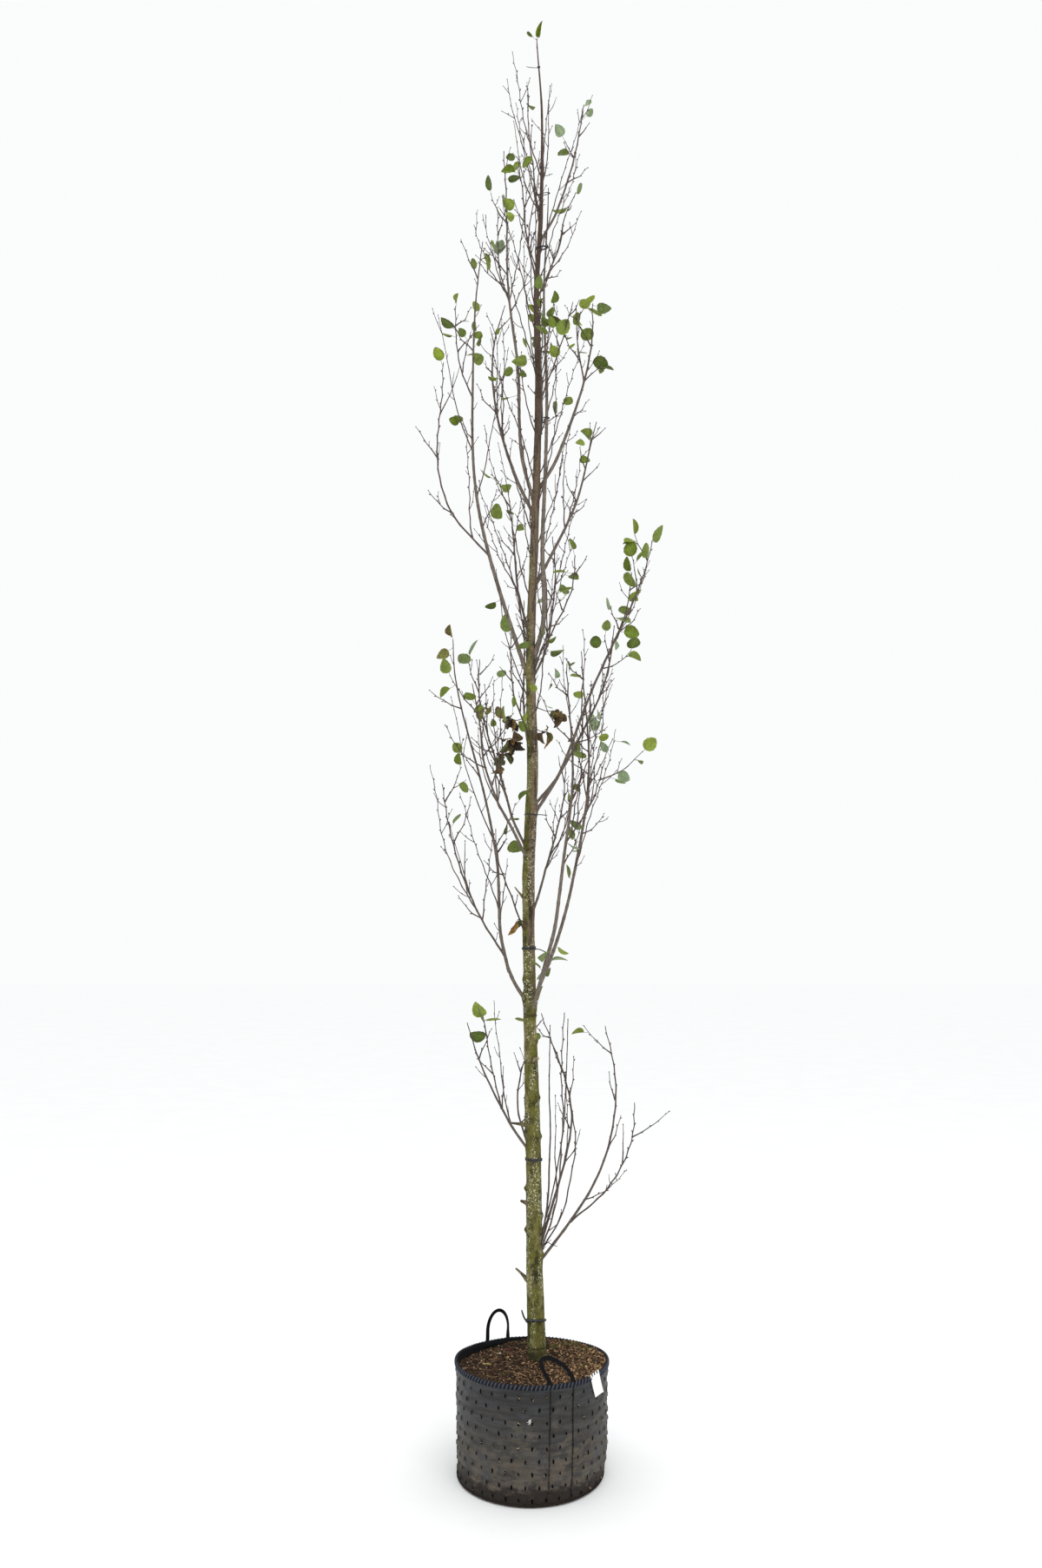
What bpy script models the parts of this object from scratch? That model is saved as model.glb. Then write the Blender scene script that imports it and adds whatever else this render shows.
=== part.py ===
"""A young upright tree in its nursery grow bag, built as separate solids.

Metres, +Z up. The origin is the middle of the bag's flat underside, +X is the right-hand side
and -Y is the front. The trunk rises from the soil and carries upright boughs. Each bough ends
where its foliage begins: a thin stem with twigs and leaves, fused into one solid.
"""

import math
import random
from collections import namedtuple

import bmesh
import bpy
import numpy as np
from mathutils import Matrix, Vector

UP = Vector((0, 0, 1))
GAP = 0.0003  # clearance between neighbouring solids

# ---- the grow bag ----
BAG_SIDES = 32
BAG_FOOT_RADIUS = 0.2205
BAG_RIM_RADIUS = 0.2282
BAG_HEIGHT = 0.331
BAG_CORNER = 0.009  # rounding between underside and wall
BAG_WALL = 0.003
HEM_HEIGHT = 0.0133
HEM_THICKNESS = 0.0062
HEM_PROUD = 0.0012  # how far the hem stands out from the wall
HEM_SOFT = 0.0018  # the bevel of its top edge
SOIL_LEVEL = 0.323  # at the trunk
SOIL_PLAY = 0.0009  # between the soil and the wall, which has flat facets
SOIL_SHOULDER = 0.28  # below this height the soil follows the wall in one straight line
SOIL_FLAT_RADIUS = 0.07  # level ground round the trunk's foot
SOIL_EDGE_LEVEL = 0.3165
SOIL_EDGE_DIP = 0.020  # how much lower the soil lies on its low side
SOIL_DIP_AZIMUTH = 128  # degrees

# ---- the two carrying loops of webbing ----
STRAP_WIDTH = 0.012
STRAP_THICKNESS = 0.0026
LOOP_SPAN = 0.072  # between the legs
LOOP_LEG = 0.030  # straight part of a leg
LOOP_ARCH = 0.058  # from the end of the straight part to the top
LOOP_STEPS = 16
LOOP_LEG_SHARE = 0.18  # of the steps, for each straight leg
LOOP_TURN_RATE = 2.2  # the webbing stands edge to the wall this early, as a rate of its rise
LOOP_IN_FROM_RIM = 0.0019  # the feet stand on the middle of the hem
BACK_LOOP_AZIMUTH = 118
BACK_LOOP_INWARD = 0.004
FRONT_LOOP_AZIMUTH = -68
FRONT_LOOP_INWARD = 0.052  # how far its top leans in over the soil
FRONT_LOOP_LEFT = 0.030  # and to the left
FRONT_LOOP_DROP = 0.024  # and how much that lowers it

# ---- the blank tag at the rim ----
TAG_WIDTH = 0.032
TAG_LENGTH = 0.070
TAG_THICKNESS = 0.0012
TAG_AZIMUTH = -40
TAG_TURN = -14  # it faces further forward than the wall does
TAG_TILT = 18
TAG_NOTCHES = 3
TAG_NOTCH_DEPTH = 0.009
TAG_CLEAR = 0.0024  # its middle from the hem, so that its edge just clears it
TAG_RAISED = 0.010  # its top edge above the rim

# ---- the trunk: its centre line (height, x, y) and its thickness (height, diameter) ----
TRUNK_LINE = (
    (0.323, 0.016, 0.022), (0.60, 0.009, 0.020), (0.95, 0.006, 0.016), (1.37, -0.005, 0.012),
    (1.80, -0.008, 0.008), (2.10, 0.004, 0.004), (2.50, -0.001, 0.000), (3.00, 0.016, 0.002),
    (3.35, 0.025, 0.004), (3.70, 0.019, 0.002), (4.00, 0.035, 0.000), (4.35, 0.038, 0.002),
    (4.585, 0.023, 0.000),
)
TRUNK_GIRTH = (
    (0.323, 0.0555), (0.60, 0.0505), (0.95, 0.0465), (1.37, 0.0395), (1.85, 0.0385), (2.10, 0.0355),
    (2.40, 0.0300), (3.00, 0.0255), (3.50, 0.0200), (4.00, 0.0135), (4.35, 0.0075), (4.585, 0.0042),
)
TRUNK_FOOT = TRUNK_LINE[0][0] + GAP
TRUNK_TIP = TRUNK_LINE[-1][0]
TRUNK_SIDES = 12
TRUNK_RING_STEP = 0.30
TRUNK_FIRST_RINGS = (0.03, 0.09)  # above the foot, to carry the flare
FLARE_RISE = 0.045  # the root flare dies away over this height
FLARE_SPREAD = 0.12
FLARE_LOBES = 3
STUB_SIDES = 5

# Pruned stubs and old wounds on the trunk: height, azimuth, lean, length, diameter.
STUBS = (
    (0.540, 165, 50, 0.050, 0.011),
    (0.775, 195, 70, 0.020, 0.014),
    (1.010, 185, 82, 0.052, 0.010),
    (1.208, 300, 75, 0.024, 0.016),
    (1.700, 190, 40, 0.045, 0.007),
)

# ---- the limbs ----
# height: where it leaves the trunk. azimuth: 0 right, 90 back, 180 left, 270 front, and it
# turns by sweep on its way up. It leaves leaning exit_lean degrees from upright, passes
# elbow_reach from the trunk's centre line at elbow_rise, and ends at rise and reach, leaning
# tip_lean. girth is its base diameter, bare the share of it that is a bough; foliage follows.
Limb = namedtuple("Limb", "name height azimuth sweep exit_lean elbow_rise elbow_reach rise reach "
                  "tip_lean girth bare twigs twig_length leaves seed")
LIMBS = (
    Limb("low_right", 0.610, 25, 0, 45, 0.30, 0.260, 0.69, 0.265, -15, 0.0090, 0.12, 7, 0.17, 2, 11),
    Limb("low_back", 0.655, 32, 46, 20, 0.44, 0.240, 0.68, 0.180, -40, 0.0085, 0.20, 5, 0.15, 2, 12),
    Limb("low_left", 0.945, 205, 0, 40, 0.135, 0.110, 0.38, 0.210, 10, 0.0080, 0.20, 4, 0.13, 4, 13),
    Limb("low_inner", 0.935, 125, -48, 45, 0.14, 0.130, 0.44, 0.110, -10, 0.0060, 0.00, 3, 0.12, 2, 14),
    Limb("right_front", 1.370, -55, 0, 20, 0.30, 0.160, 1.05, 0.190, -3, 0.0130, 0.34, 7, 0.20, 8, 21),
    Limb("right_back", 1.400, 35, 0, 30, 0.48, 0.205, 1.12, 0.205, -3, 0.0120, 0.36, 7, 0.20, 9, 22),
    Limb("left_long", 1.400, 183, 0, 35, 0.45, 0.105, 1.13, 0.250, 0, 0.0110, 0.08, 8, 0.19, 11, 23),
    Limb("left_back", 1.600, 135, 0, 25, 0.15, 0.100, 0.33, 0.160, 10, 0.0060, 0.00, 3, 0.12, 3, 24),
    Limb("back_right", 1.650, 65, 0, 35, 0.18, 0.160, 0.50, 0.270, 10, 0.0085, 0.30, 5, 0.17, 6, 25),
    Limb("left_front", 1.840, 232, 0, 40, 0.20, 0.200, 0.50, 0.290, 15, 0.0095, 0.30, 6, 0.18, 8, 26),
    Limb("left_upright", 1.880, 158, 0, 35, 0.22, 0.110, 0.60, 0.180, -10, 0.0085, 0.25, 6, 0.16, 7, 27),
    Limb("long_right", 1.985, 2, 0, 35, 0.35, 0.180, 0.88, 0.385, 8, 0.0105, 0.46, 7, 0.15, 15, 31),
    Limb("front_right", 2.005, -38, 0, 50, 0.16, 0.165, 0.52, 0.320, 0, 0.0095, 0.26, 6, 0.15, 10, 32),
    Limb("back_mid", 2.060, 97, 0, 35, 0.25, 0.140, 0.66, 0.230, 5, 0.0090, 0.32, 6, 0.17, 8, 33),
    Limb("front_inner", 2.220, 243, 0, 45, 0.10, 0.110, 0.30, 0.140, 0, 0.0055, 0.00, 3, 0.10, 4, 34),
    Limb("right_inner", 2.410, 65, 0, 40, 0.16, 0.150, 0.50, 0.145, -10, 0.0080, 0.28, 4, 0.14, 4, 41),
    Limb("left_tall", 2.430, 178, 0, 18, 0.62, 0.200, 1.46, 0.190, -2, 0.0140, 0.24, 10, 0.20, 18, 42),
    Limb("front_arch", 2.440, -60, 0, 55, 0.10, 0.150, 0.30, 0.255, -10, 0.0055, 0.00, 3, 0.10, 4, 43),
    Limb("back_left", 2.540, 118, 0, 25, 0.28, 0.130, 0.54, 0.200, 15, 0.0085, 0.32, 5, 0.15, 5, 44),
    Limb("right_high", 2.720, 15, 0, 25, 0.29, 0.140, 0.56, 0.200, 15, 0.0105, 0.34, 6, 0.15, 4, 45),
    Limb("left_bowed", 2.960, 145, 0, 30, 0.36, 0.165, 0.74, 0.130, -30, 0.0115, 0.30, 6, 0.14, 9, 51),
    Limb("left_crown", 3.010, 197, 0, 24, 0.47, 0.075, 1.17, 0.135, 5, 0.0115, 0.30, 9, 0.15, 13, 52),
    Limb("right_crown", 3.040, 22, -37, 35, 0.20, 0.100, 0.60, 0.190, 0, 0.0115, 0.30, 6, 0.14, 11, 53),
    Limb("back_crown", 3.180, 82, 0, 30, 0.20, 0.095, 0.54, 0.150, 5, 0.0065, 0.00, 5, 0.13, 7, 54),
    Limb("front_crown", 3.210, 277, 0, 25, 0.15, 0.060, 0.44, 0.100, 5, 0.0060, 0.00, 4, 0.11, 7, 55),
    Limb("front_spray", 3.330, -60, 0, 50, 0.08, 0.100, 0.24, 0.220, 20, 0.0055, 0.00, 3, 0.10, 6, 56),
    Limb("right_tip", 3.700, 48, -10, 34, 0.20, 0.085, 0.42, 0.150, 35, 0.0060, 0.00, 4, 0.10, 4, 61),
    Limb("left_tip", 3.760, 228, 0, 25, 0.15, 0.070, 0.36, 0.120, 12, 0.0060, 0.00, 4, 0.10, 6, 62),
    Limb("right_top", 3.900, 8, 0, 30, 0.20, 0.085, 0.49, 0.145, 10, 0.0080, 0.30, 4, 0.10, 4, 63),
    Limb("left_top", 3.990, 117, 0, 25, 0.20, 0.075, 0.50, 0.085, -5, 0.0060, 0.00, 4, 0.09, 4, 64),
)
# Second stems: they leave their limb at at_rise and keep the other measures from there.
Fork = namedtuple("Fork", "limb at_rise azimuth exit_lean elbow_rise elbow_reach rise reach tip_lean girth")
FORKS = (
    Fork("low_right", 0.10, -25, 50, 0.13, 0.140, 0.37, 0.215, -5, 0.0055),
    Fork("low_left", 0.12, 170, 15, 0.12, 0.030, 0.26, 0.055, 10, 0.0045),
    Fork("right_front", 0.50, -15, 45, 0.08, 0.060, 0.24, 0.120, 15, 0.0050),
    Fork("right_back", 0.62, 80, 35, 0.15, 0.070, 0.36, 0.110, 5, 0.0050),
    Fork("left_long", 0.13, 215, 40, 0.17, 0.120, 0.52, 0.230, 8, 0.0065),
    Fork("long_right", 0.52, 35, 35, 0.12, 0.060, 0.26, 0.090, -5, 0.0045),
    Fork("left_tall", 0.38, 217, 60, 0.12, 0.150, 0.60, 0.185, 5, 0.0065),
    Fork("left_tall", 0.92, 140, 35, 0.14, 0.060, 0.34, 0.080, 0, 0.0050),
    Fork("right_crown", 0.36, 170, 12, 0.10, 0.018, 0.26, 0.025, 5, 0.0050),
    Fork("left_crown", 0.66, 120, 40, 0.12, 0.060, 0.34, 0.080, 0, 0.0050),
)
# A second leader climbs close beside the trunk.
CO_LEADER = Limb("co_leader", 2.475, -28, 12, 24, 0.40, 0.0285, 1.60, 0.0235, 0,
                 0.0160, 1.0, 0, 0.0, 0, 7)
CROWN_TIP = Limb("crown_tip", 0, 150, 0, 0, 0, 0, 0.030, 0, 0, 0.0036, 0, 0, 0.0, 2, 70)

TIP_RADIUS = 0.0013
TAPER = 0.8
ROOM_STEP = 0.05  # length of the rods that stand for the trunk in the room taken
RING_STEP = 0.105  # between the rings of a bough, stem or fork
BOUGH_SIDES = 5
STEM_SIDES = 3
TWIG_SIDES = 3
WANDER = 0.007  # sideways play of a limb
TWIG_STEPS = 2
TWIG_ZONE = (0.06, 0.94)  # shares of a stem between which its twigs leave it
TWIG_SCATTER = (0.3, 0.8)
TWIG_SHARES = (0.55, 1.25)  # shortest and longest, of the limb's own twig_length
TWIG_SHORTER_UP = 0.45  # how much shorter they are at the stem's tip
TWIG_LEAN = (28, 52)
TWIG_PLAY = 0.16
TWIG_LIFT = 0.45  # how strongly a twig turns upright at each step
SPIRAL = 137.5  # degrees from one twig to the next round its stem
SPIRAL_PLAY = 30
LEAVES_TOGETHER = 2.6
HIGH_SHARE = 1.7  # leaves sit on tips picked from this many times as many, the highest ones
LEAF_SPACING = 0.17  # between leaves on one twig, as a share of the twig
LEAF_LENGTH = (0.046, 0.064)
LEAF_WIDTH = 0.80  # of its length
LEAF_EDGE = ((0.38, 0.90), (0.80, 0.85))  # along the blade, and out, of length and half width
LEAF_CROWN = 0.55  # where its raised middle stands along it
LEAF_THICKNESS = 0.0011
LEAF_TRIES = 7
KEEP_CLEAR = 0.0012  # between a twig or leaf and what isn't its own mass
LEAF_RIBS = (-0.8, -0.42, 0.42, 0.8)  # across the blade, of the half width
LEAF_RIB_RADIUS = 0.0038
SOLVERS = ("EXACT", "MANIFOLD")
SCRAP_FACES = 12  # more loose faces than this mean that a union failed

PAINTS = {
    "bark": ((0.105, 0.115, 0.050), 0.85),
    "twig": ((0.130, 0.095, 0.080), 0.75),
    "leaf": ((0.085, 0.165, 0.035), 0.55),
    "bag": ((0.055, 0.060, 0.062), 0.55),
    "webbing": ((0.012, 0.013, 0.015), 0.85),
    "soil": ((0.075, 0.045, 0.028), 0.95),
    "tag": ((0.80, 0.80, 0.78), 0.50),
}


# ---------------------------------------------------------------- small helpers
def paint(name):
    """The named material, made on first use."""
    material = bpy.data.materials.get(name)
    if material is None:
        color, roughness = PAINTS[name]
        material = bpy.data.materials.new(name)
        material.use_nodes = True
        shader = material.node_tree.nodes["Principled BSDF"]
        shader.inputs["Base Color"].default_value = (*color, 1)
        shader.inputs["Roughness"].default_value = roughness
    return material


def add_object(name, verts, faces, paint_name, smooth_angle=None):
    """One closed mesh as a named object, its faces pointing out."""
    mesh = bpy.data.meshes.new(name)
    mesh.from_pydata([tuple(v) for v in verts], [], faces)
    shell = bmesh.new()
    shell.from_mesh(mesh)
    bmesh.ops.recalc_face_normals(shell, faces=shell.faces)
    shell.to_mesh(mesh)
    shell.free()
    mesh.materials.append(paint(paint_name))
    if smooth_angle:
        mesh.shade_smooth()
        mesh.set_sharp_from_angle(angle=math.radians(smooth_angle))
    thing = bpy.data.objects.new(name, mesh)
    bpy.context.scene.collection.objects.link(thing)
    return thing


def heading(azimuth):
    """The level unit vector at an azimuth in degrees."""
    return Vector((math.cos(math.radians(azimuth)), math.sin(math.radians(azimuth)), 0))


def curve_through(table, at, column):
    """A smooth reading of one column of a table whose first column rises."""
    last = len(table) - 2
    place = 0
    while place < last and at > table[place + 1][0]:
        place += 1
    before, start, end, after = (table[min(max(place + step, 0), last + 1)] for step in (-1, 0, 1, 2))
    span = end[0] - start[0]
    share = min(max((at - start[0]) / span, 0), 1)
    slope_in = (end[column] - before[column]) / (end[0] - before[0])
    slope_out = (after[column] - start[column]) / (after[0] - start[0])
    return hermite(start[column], end[column], slope_in * span, slope_out * span, share)


def hermite(start, end, leave, arrive, share):
    """The cubic from start to end with the given rates of change at its ends."""
    square, cube = share ** 2, share ** 3
    return (start * (2 * cube - 3 * square + 1) + leave * (cube - 2 * square + share)
            + end * (3 * square - 2 * cube) + arrive * (cube - square))


def trunk_centre(height):
    at = min(max(height, TRUNK_LINE[0][0]), TRUNK_TIP)
    return Vector((curve_through(TRUNK_LINE, at, 1), curve_through(TRUNK_LINE, at, 2), height))


def trunk_radius(height):
    return curve_through(TRUNK_GIRTH, min(max(height, TRUNK_LINE[0][0]), TRUNK_TIP), 1) / 2


def tube(points, radii, sides, spin=0.0, first=None, last=None):
    """Rings of points round a line; the flat ends face along first and last where given."""
    verts = []
    faces = []
    side = None
    for number, point in enumerate(points):
        before = points[max(number - 1, 0)]
        after = points[min(number + 1, len(points) - 1)]
        along = (after - before).normalized()
        if first and number == 0:
            along = first
        if last and number == len(points) - 1:
            along = last
        if side is None:
            side = along.orthogonal().normalized()
        side = (side - along * side.dot(along)).normalized()
        across = along.cross(side)
        for corner in range(sides):
            turn = spin + math.tau * corner / sides
            verts.append(point + (side * math.cos(turn) + across * math.sin(turn)) * radii[number])
    for ring in range(len(points) - 1):
        for corner in range(sides):
            following = (corner + 1) % sides
            low, high = ring * sides, (ring + 1) * sides
            faces.append((low + corner, low + following, high + following, high + corner))
    faces.append(tuple(range(sides))[::-1])
    faces.append(tuple((len(points) - 1) * sides + corner for corner in range(sides)))
    return verts, faces


# ---------------------------------------------------------------- how the tree grows
class Room:
    """The room already taken, kept as round-ended rods with the name of their owner."""

    def __init__(self):
        self.rods = []
        self.owners = []

    def take(self, owner, points, radius):
        for start, end in zip(points, points[1:]):
            self.rods.append((*start, *end, radius))
            self.owners.append(owner)

    def is_clear(self, owner, points, radius):
        """True when small balls at the points touch no rod of another owner."""
        keep = [place for place, name in enumerate(self.owners) if name != owner]
        rods = np.array([self.rods[place] for place in keep])
        start, along = rods[:, 0:3], rods[:, 3:6] - rods[:, 0:3]
        length = np.maximum((along ** 2).sum(axis=1), 1e-12)
        from_start = np.array([tuple(p) for p in points])[:, None, :] - start[None]
        share = np.clip((from_start * along).sum(axis=2) / length, 0, 1)
        apart = np.linalg.norm(from_start - share[..., None] * along, axis=2) - rods[:, 6]
        return bool((apart > radius + KEEP_CLEAR).all())


def dense(points, step=0.003):
    """The points of a polyline at close, even steps."""
    result = [points[0]]
    for start, end in zip(points, points[1:]):
        count = max(1, math.ceil((end - start).length / step))
        result += [start.lerp(end, number / count) for number in range(1, count + 1)]
    return result


def reach_at(shape, start_reach, climb):
    """How far out a limb stands after a climb, from its exit, elbow and tip."""
    first = shape.elbow_reach - start_reach
    second = shape.reach - shape.elbow_reach
    rest = shape.rise - shape.elbow_rise
    elbow_slope = (first / shape.elbow_rise + second / rest) / 2
    if climb <= shape.elbow_rise:
        leave = math.tan(math.radians(shape.exit_lean))
        return hermite(start_reach, shape.elbow_reach, leave * shape.elbow_rise,
                       elbow_slope * shape.elbow_rise, climb / shape.elbow_rise)
    arrive = math.tan(math.radians(shape.tip_lean))
    return hermite(shape.elbow_reach, shape.reach, elbow_slope * rest, arrive * rest,
                   (climb - shape.elbow_rise) / rest)


def limb_point(limb, share):
    """A point on a limb's centre line, and the radius there."""
    climb = limb.rise * share
    height = limb.height + climb
    out = heading(limb.azimuth + limb.sweep * share)
    reach = reach_at(limb, trunk_radius(limb.height) + GAP, climb)
    sway = WANDER * math.sin(math.tau * (1.4 * share + 0.37 * limb.seed)) * math.sin(math.pi * share)
    if limb is CO_LEADER:
        sway = 0
    point = trunk_centre(height) + out * reach + out.cross(UP) * sway
    radius = TIP_RADIUS + (limb.girth / 2 - TIP_RADIUS) * max(0.0, 1 - share) ** TAPER
    return point, radius


def limb_line(limb, begin, end):
    """Points and radii along a limb from one share of it to another."""
    count = max(2, round(limb.rise * (end - begin) / RING_STEP))
    rows = [limb_point(limb, begin + (end - begin) * number / count) for number in range(count + 1)]
    return [row[0] for row in rows], [row[1] for row in rows]


def limb_along(limb, share):
    """The direction of a limb's centre line."""
    return (limb_point(limb, share + 0.01)[0] - limb_point(limb, share - 0.01)[0]).normalized()


def fork_line(fork, limb):
    """Points and radii of a second stem, from inside its limb to its tip."""
    root, _ = limb_point(limb, fork.at_rise / limb.rise)
    out = heading(fork.azimuth)
    count = max(2, round(fork.rise / RING_STEP))
    points = []
    radii = []
    for number in range(count + 1):
        share = number / count
        points.append(root + out * reach_at(fork, 0, fork.rise * share) + UP * fork.rise * share)
        radii.append(TIP_RADIUS + (fork.girth / 2 - TIP_RADIUS) * max(0.0, 1 - share) ** TAPER)
    return points, radii


def point_on(points, share):
    """The point at a share of a polyline's corners, and the direction there."""
    place = min(share, 0.9999) * (len(points) - 1)
    low = int(place)
    along = points[low + 1] - points[low]
    return points[low] + along * (place - low), along.normalized()


def twig_line(chance, points, share, turn, length):
    """A twig that leaves a stem to one side and bends upright."""
    root, along = point_on(points, share)
    side = Matrix.Rotation(math.radians(turn), 3, along) @ along.orthogonal().normalized()
    lean = math.radians(chance.uniform(*TWIG_LEAN))
    towards = along * math.cos(lean) + side * math.sin(lean)
    line = [root]
    for _ in range(TWIG_STEPS):
        line.append(line[-1] + towards * length / TWIG_STEPS)
        play = Vector([chance.uniform(-TWIG_PLAY, TWIG_PLAY) for _ in range(3)])
        towards = (towards + UP * TWIG_LIFT + play).normalized()
    return line


Leaf = namedtuple("Leaf", "root tip across face")


def leaf_at(chance, points, share, is_last):
    """One leaf on a twig: its root, its tip, the vector across it and the one it faces."""
    root, along = point_on(points, share)
    lean = math.radians(chance.uniform(5, 35) if is_last else chance.uniform(45, 85))
    turn = chance.uniform(0, 360)
    side = Matrix.Rotation(math.radians(turn), 3, along) @ along.orthogonal().normalized()
    towards = (along * math.cos(lean) + side * math.sin(lean)).normalized()
    towards = (towards - UP * chance.uniform(0.0, 0.35)).normalized()
    length = chance.uniform(*LEAF_LENGTH)
    face = Matrix.Rotation(chance.uniform(-1.2, 1.2), 3, towards) @ UP
    across = towards.cross(face).normalized()
    face = across.cross(towards)
    return Leaf(root, root + towards * length, across * length * LEAF_WIDTH / 2, face)


def leaf_ribs(leaf):
    """Lines that cover a leaf's blade, for keeping it clear of everything else."""
    low = leaf.root.lerp(leaf.tip, 0.34)
    high = leaf.root.lerp(leaf.tip, 0.92)
    ribs = [[leaf.root, leaf.tip]]
    for side in LEAF_RIBS:
        ribs.append([low + leaf.across * side, high + leaf.across * side * 0.8])
    return ribs


class Foliage:
    """One mass: its stem and forks, its twigs and its leaves."""

    def __init__(self, limb):
        self.limb = limb
        self.name = "foliage_" + limb.name
        self.stems = []
        self.twigs = []
        self.leaves = []

    def set_out(self, room):
        """Lay out the stem and the forks and take their room."""
        if self.limb is CROWN_TIP:
            tip = trunk_centre(TRUNK_TIP)
            lean = (tip - trunk_centre(TRUNK_TIP - 0.02)).normalized()
            points = [tip + lean * GAP, tip + lean * CROWN_TIP.rise]
            self.stems.append((points, [CROWN_TIP.girth / 2, TIP_RADIUS]))
        else:
            points, radii = limb_line(self.limb, self.limb.bare, 1.0)
            if self.limb.bare:
                points[0] = points[0] + limb_along(self.limb, self.limb.bare) * GAP
            self.stems.append((points, radii))
        for fork in FORKS:
            if fork.limb == self.limb.name:
                self.stems.append(fork_line(fork, self.limb))
        for points, radii in self.stems:
            room.take(self.name, points, max(radii))

    def grow(self, room):
        """Let twigs branch from the stems by the seeded rule, then set leaves on their tips."""
        chance = random.Random(self.limb.seed)
        for number in range(self.limb.twigs):
            points, radii = self.stems[number % len(self.stems)]
            place = (number + chance.uniform(*TWIG_SCATTER)) / self.limb.twigs
            share = TWIG_ZONE[0] + (TWIG_ZONE[1] - TWIG_ZONE[0]) * place
            turn = number * SPIRAL + chance.uniform(-SPIRAL_PLAY, SPIRAL_PLAY)
            length = self.limb.twig_length * chance.uniform(*TWIG_SHARES) * (1 - TWIG_SHORTER_UP * share)
            line = twig_line(chance, points, share, turn, length)
            beyond_stem = [p for p in dense(line) if (p - line[0]).length > 2 * max(radii)]
            if room.is_clear(self.name, beyond_stem, 2 * TIP_RADIUS):
                room.take(self.name, line, 1.5 * TIP_RADIUS)
                self.twigs.append(line)
        carriers = [points for points, _ in self.stems] + self.twigs
        count = max(1, round(self.limb.leaves / LEAVES_TOGETHER))
        carriers.sort(key=lambda line: -line[-1].z)
        carriers = carriers[:math.ceil(count * HIGH_SHARE)]
        chance.shuffle(carriers)
        carriers = carriers[:count]
        for number in range(self.limb.leaves):
            row, place = divmod(number, len(carriers))
            share = 0.985 - row * LEAF_SPACING / math.sqrt(len(carriers[place]) / (TWIG_STEPS + 1))
            for _ in range(LEAF_TRIES):
                leaf = leaf_at(chance, carriers[place], share, row == 0)
                blade = [p for rib in leaf_ribs(leaf) for p in dense(rib, 0.004)]
                if room.is_clear(self.name, blade, LEAF_RIB_RADIUS):
                    for rib in leaf_ribs(leaf):
                        room.take(self.name, rib, LEAF_RIB_RADIUS)
                    self.leaves.append(leaf)
                    break


# ---------------------------------------------------------------- solids of the tree
def ring_radius(height, turn):
    """The trunk's radius at a height and a turn, with the root flare's lobes."""
    flare = FLARE_SPREAD * math.exp(-(height - TRUNK_FOOT) / FLARE_RISE)
    lobes = 0.6 + 0.4 * math.cos(FLARE_LOBES * turn + 0.8)
    return trunk_radius(height) * (1 + flare * lobes)


def build_trunk():
    """The trunk, with the stubs of pruned boughs fused on."""
    return fuse("trunk", [trunk_loft()] + [stub_solid(*stub) for stub in STUBS], "bark")


def stub_solid(height, azimuth, lean, length, girth):
    """A short pruned stub, rooted inside the trunk."""
    root = trunk_centre(height) + heading(azimuth) * trunk_radius(height) * 0.5
    towards = heading(azimuth) * math.sin(math.radians(lean)) + UP * math.cos(math.radians(lean))
    full = length + trunk_radius(height) * 0.5
    points = [root, root + towards * full * 0.55, root + towards * full]
    return tube(points, [girth / 2, girth * 0.46, girth * 0.36], STUB_SIDES)


def trunk_loft(extra=0.0):
    """The trunk's outline as rings from its foot to its tip, made thicker by extra."""
    heights = [TRUNK_FOOT] + [TRUNK_FOOT + step for step in TRUNK_FIRST_RINGS]
    while heights[-1] + TRUNK_RING_STEP * 1.4 < TRUNK_TIP:
        heights.append(heights[-1] + TRUNK_RING_STEP)
    heights.append(TRUNK_TIP)
    verts = []
    faces = []
    for height in heights:
        for corner in range(TRUNK_SIDES):
            turn = math.tau * corner / TRUNK_SIDES
            radius = ring_radius(height, turn) + extra
            verts.append(trunk_centre(height) + Vector((math.cos(turn), math.sin(turn), 0)) * radius)
    for ring in range(len(heights) - 1):
        for corner in range(TRUNK_SIDES):
            following = (corner + 1) % TRUNK_SIDES
            low, high = ring * TRUNK_SIDES, (ring + 1) * TRUNK_SIDES
            faces.append((low + corner, low + following, high + following, high + corner))
    faces.append(tuple(range(TRUNK_SIDES))[::-1])
    faces.append(tuple((len(heights) - 1) * TRUNK_SIDES + corner for corner in range(TRUNK_SIDES)))
    return verts, faces


def cut_at_trunk(verts, faces):
    """Cut a limb that is rooted inside the trunk, just clear of the trunk's surface."""
    limb = add_object("limb_to_cut", verts, faces, "twig")
    trunk_cutter = add_object("trunk_cutter", *trunk_loft(GAP), "bark")
    cut = limb.modifiers.new("cut", "BOOLEAN")
    cut.operation = "DIFFERENCE"
    cut.object = trunk_cutter
    joined = evaluated_mesh(limb)
    keep_main_shell(joined)
    verts = [vert.co.copy() for vert in joined.vertices]
    faces = [tuple(face.vertices) for face in joined.polygons]
    bpy.data.objects.remove(limb, do_unlink=True)
    bpy.data.objects.remove(trunk_cutter, do_unlink=True)
    return verts, faces


def rooted(points, radii):
    """Lengthen a limb backwards into the trunk."""
    back = (points[0] - points[1]).normalized() * radii[0] * 1.8
    return [points[0] + back] + points, [radii[0]] + radii


def build_bough(limb, name):
    """The bare part of a limb: one tapering solid from the trunk to its foliage."""
    last = limb_along(limb, limb.bare) if limb.bare < 1 else None
    points, radii = rooted(*limb_line(limb, 0, limb.bare))
    verts, faces = cut_at_trunk(*tube(points, radii, BOUGH_SIDES, last=last))
    return add_object(name, verts, faces, "twig", 50)


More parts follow.
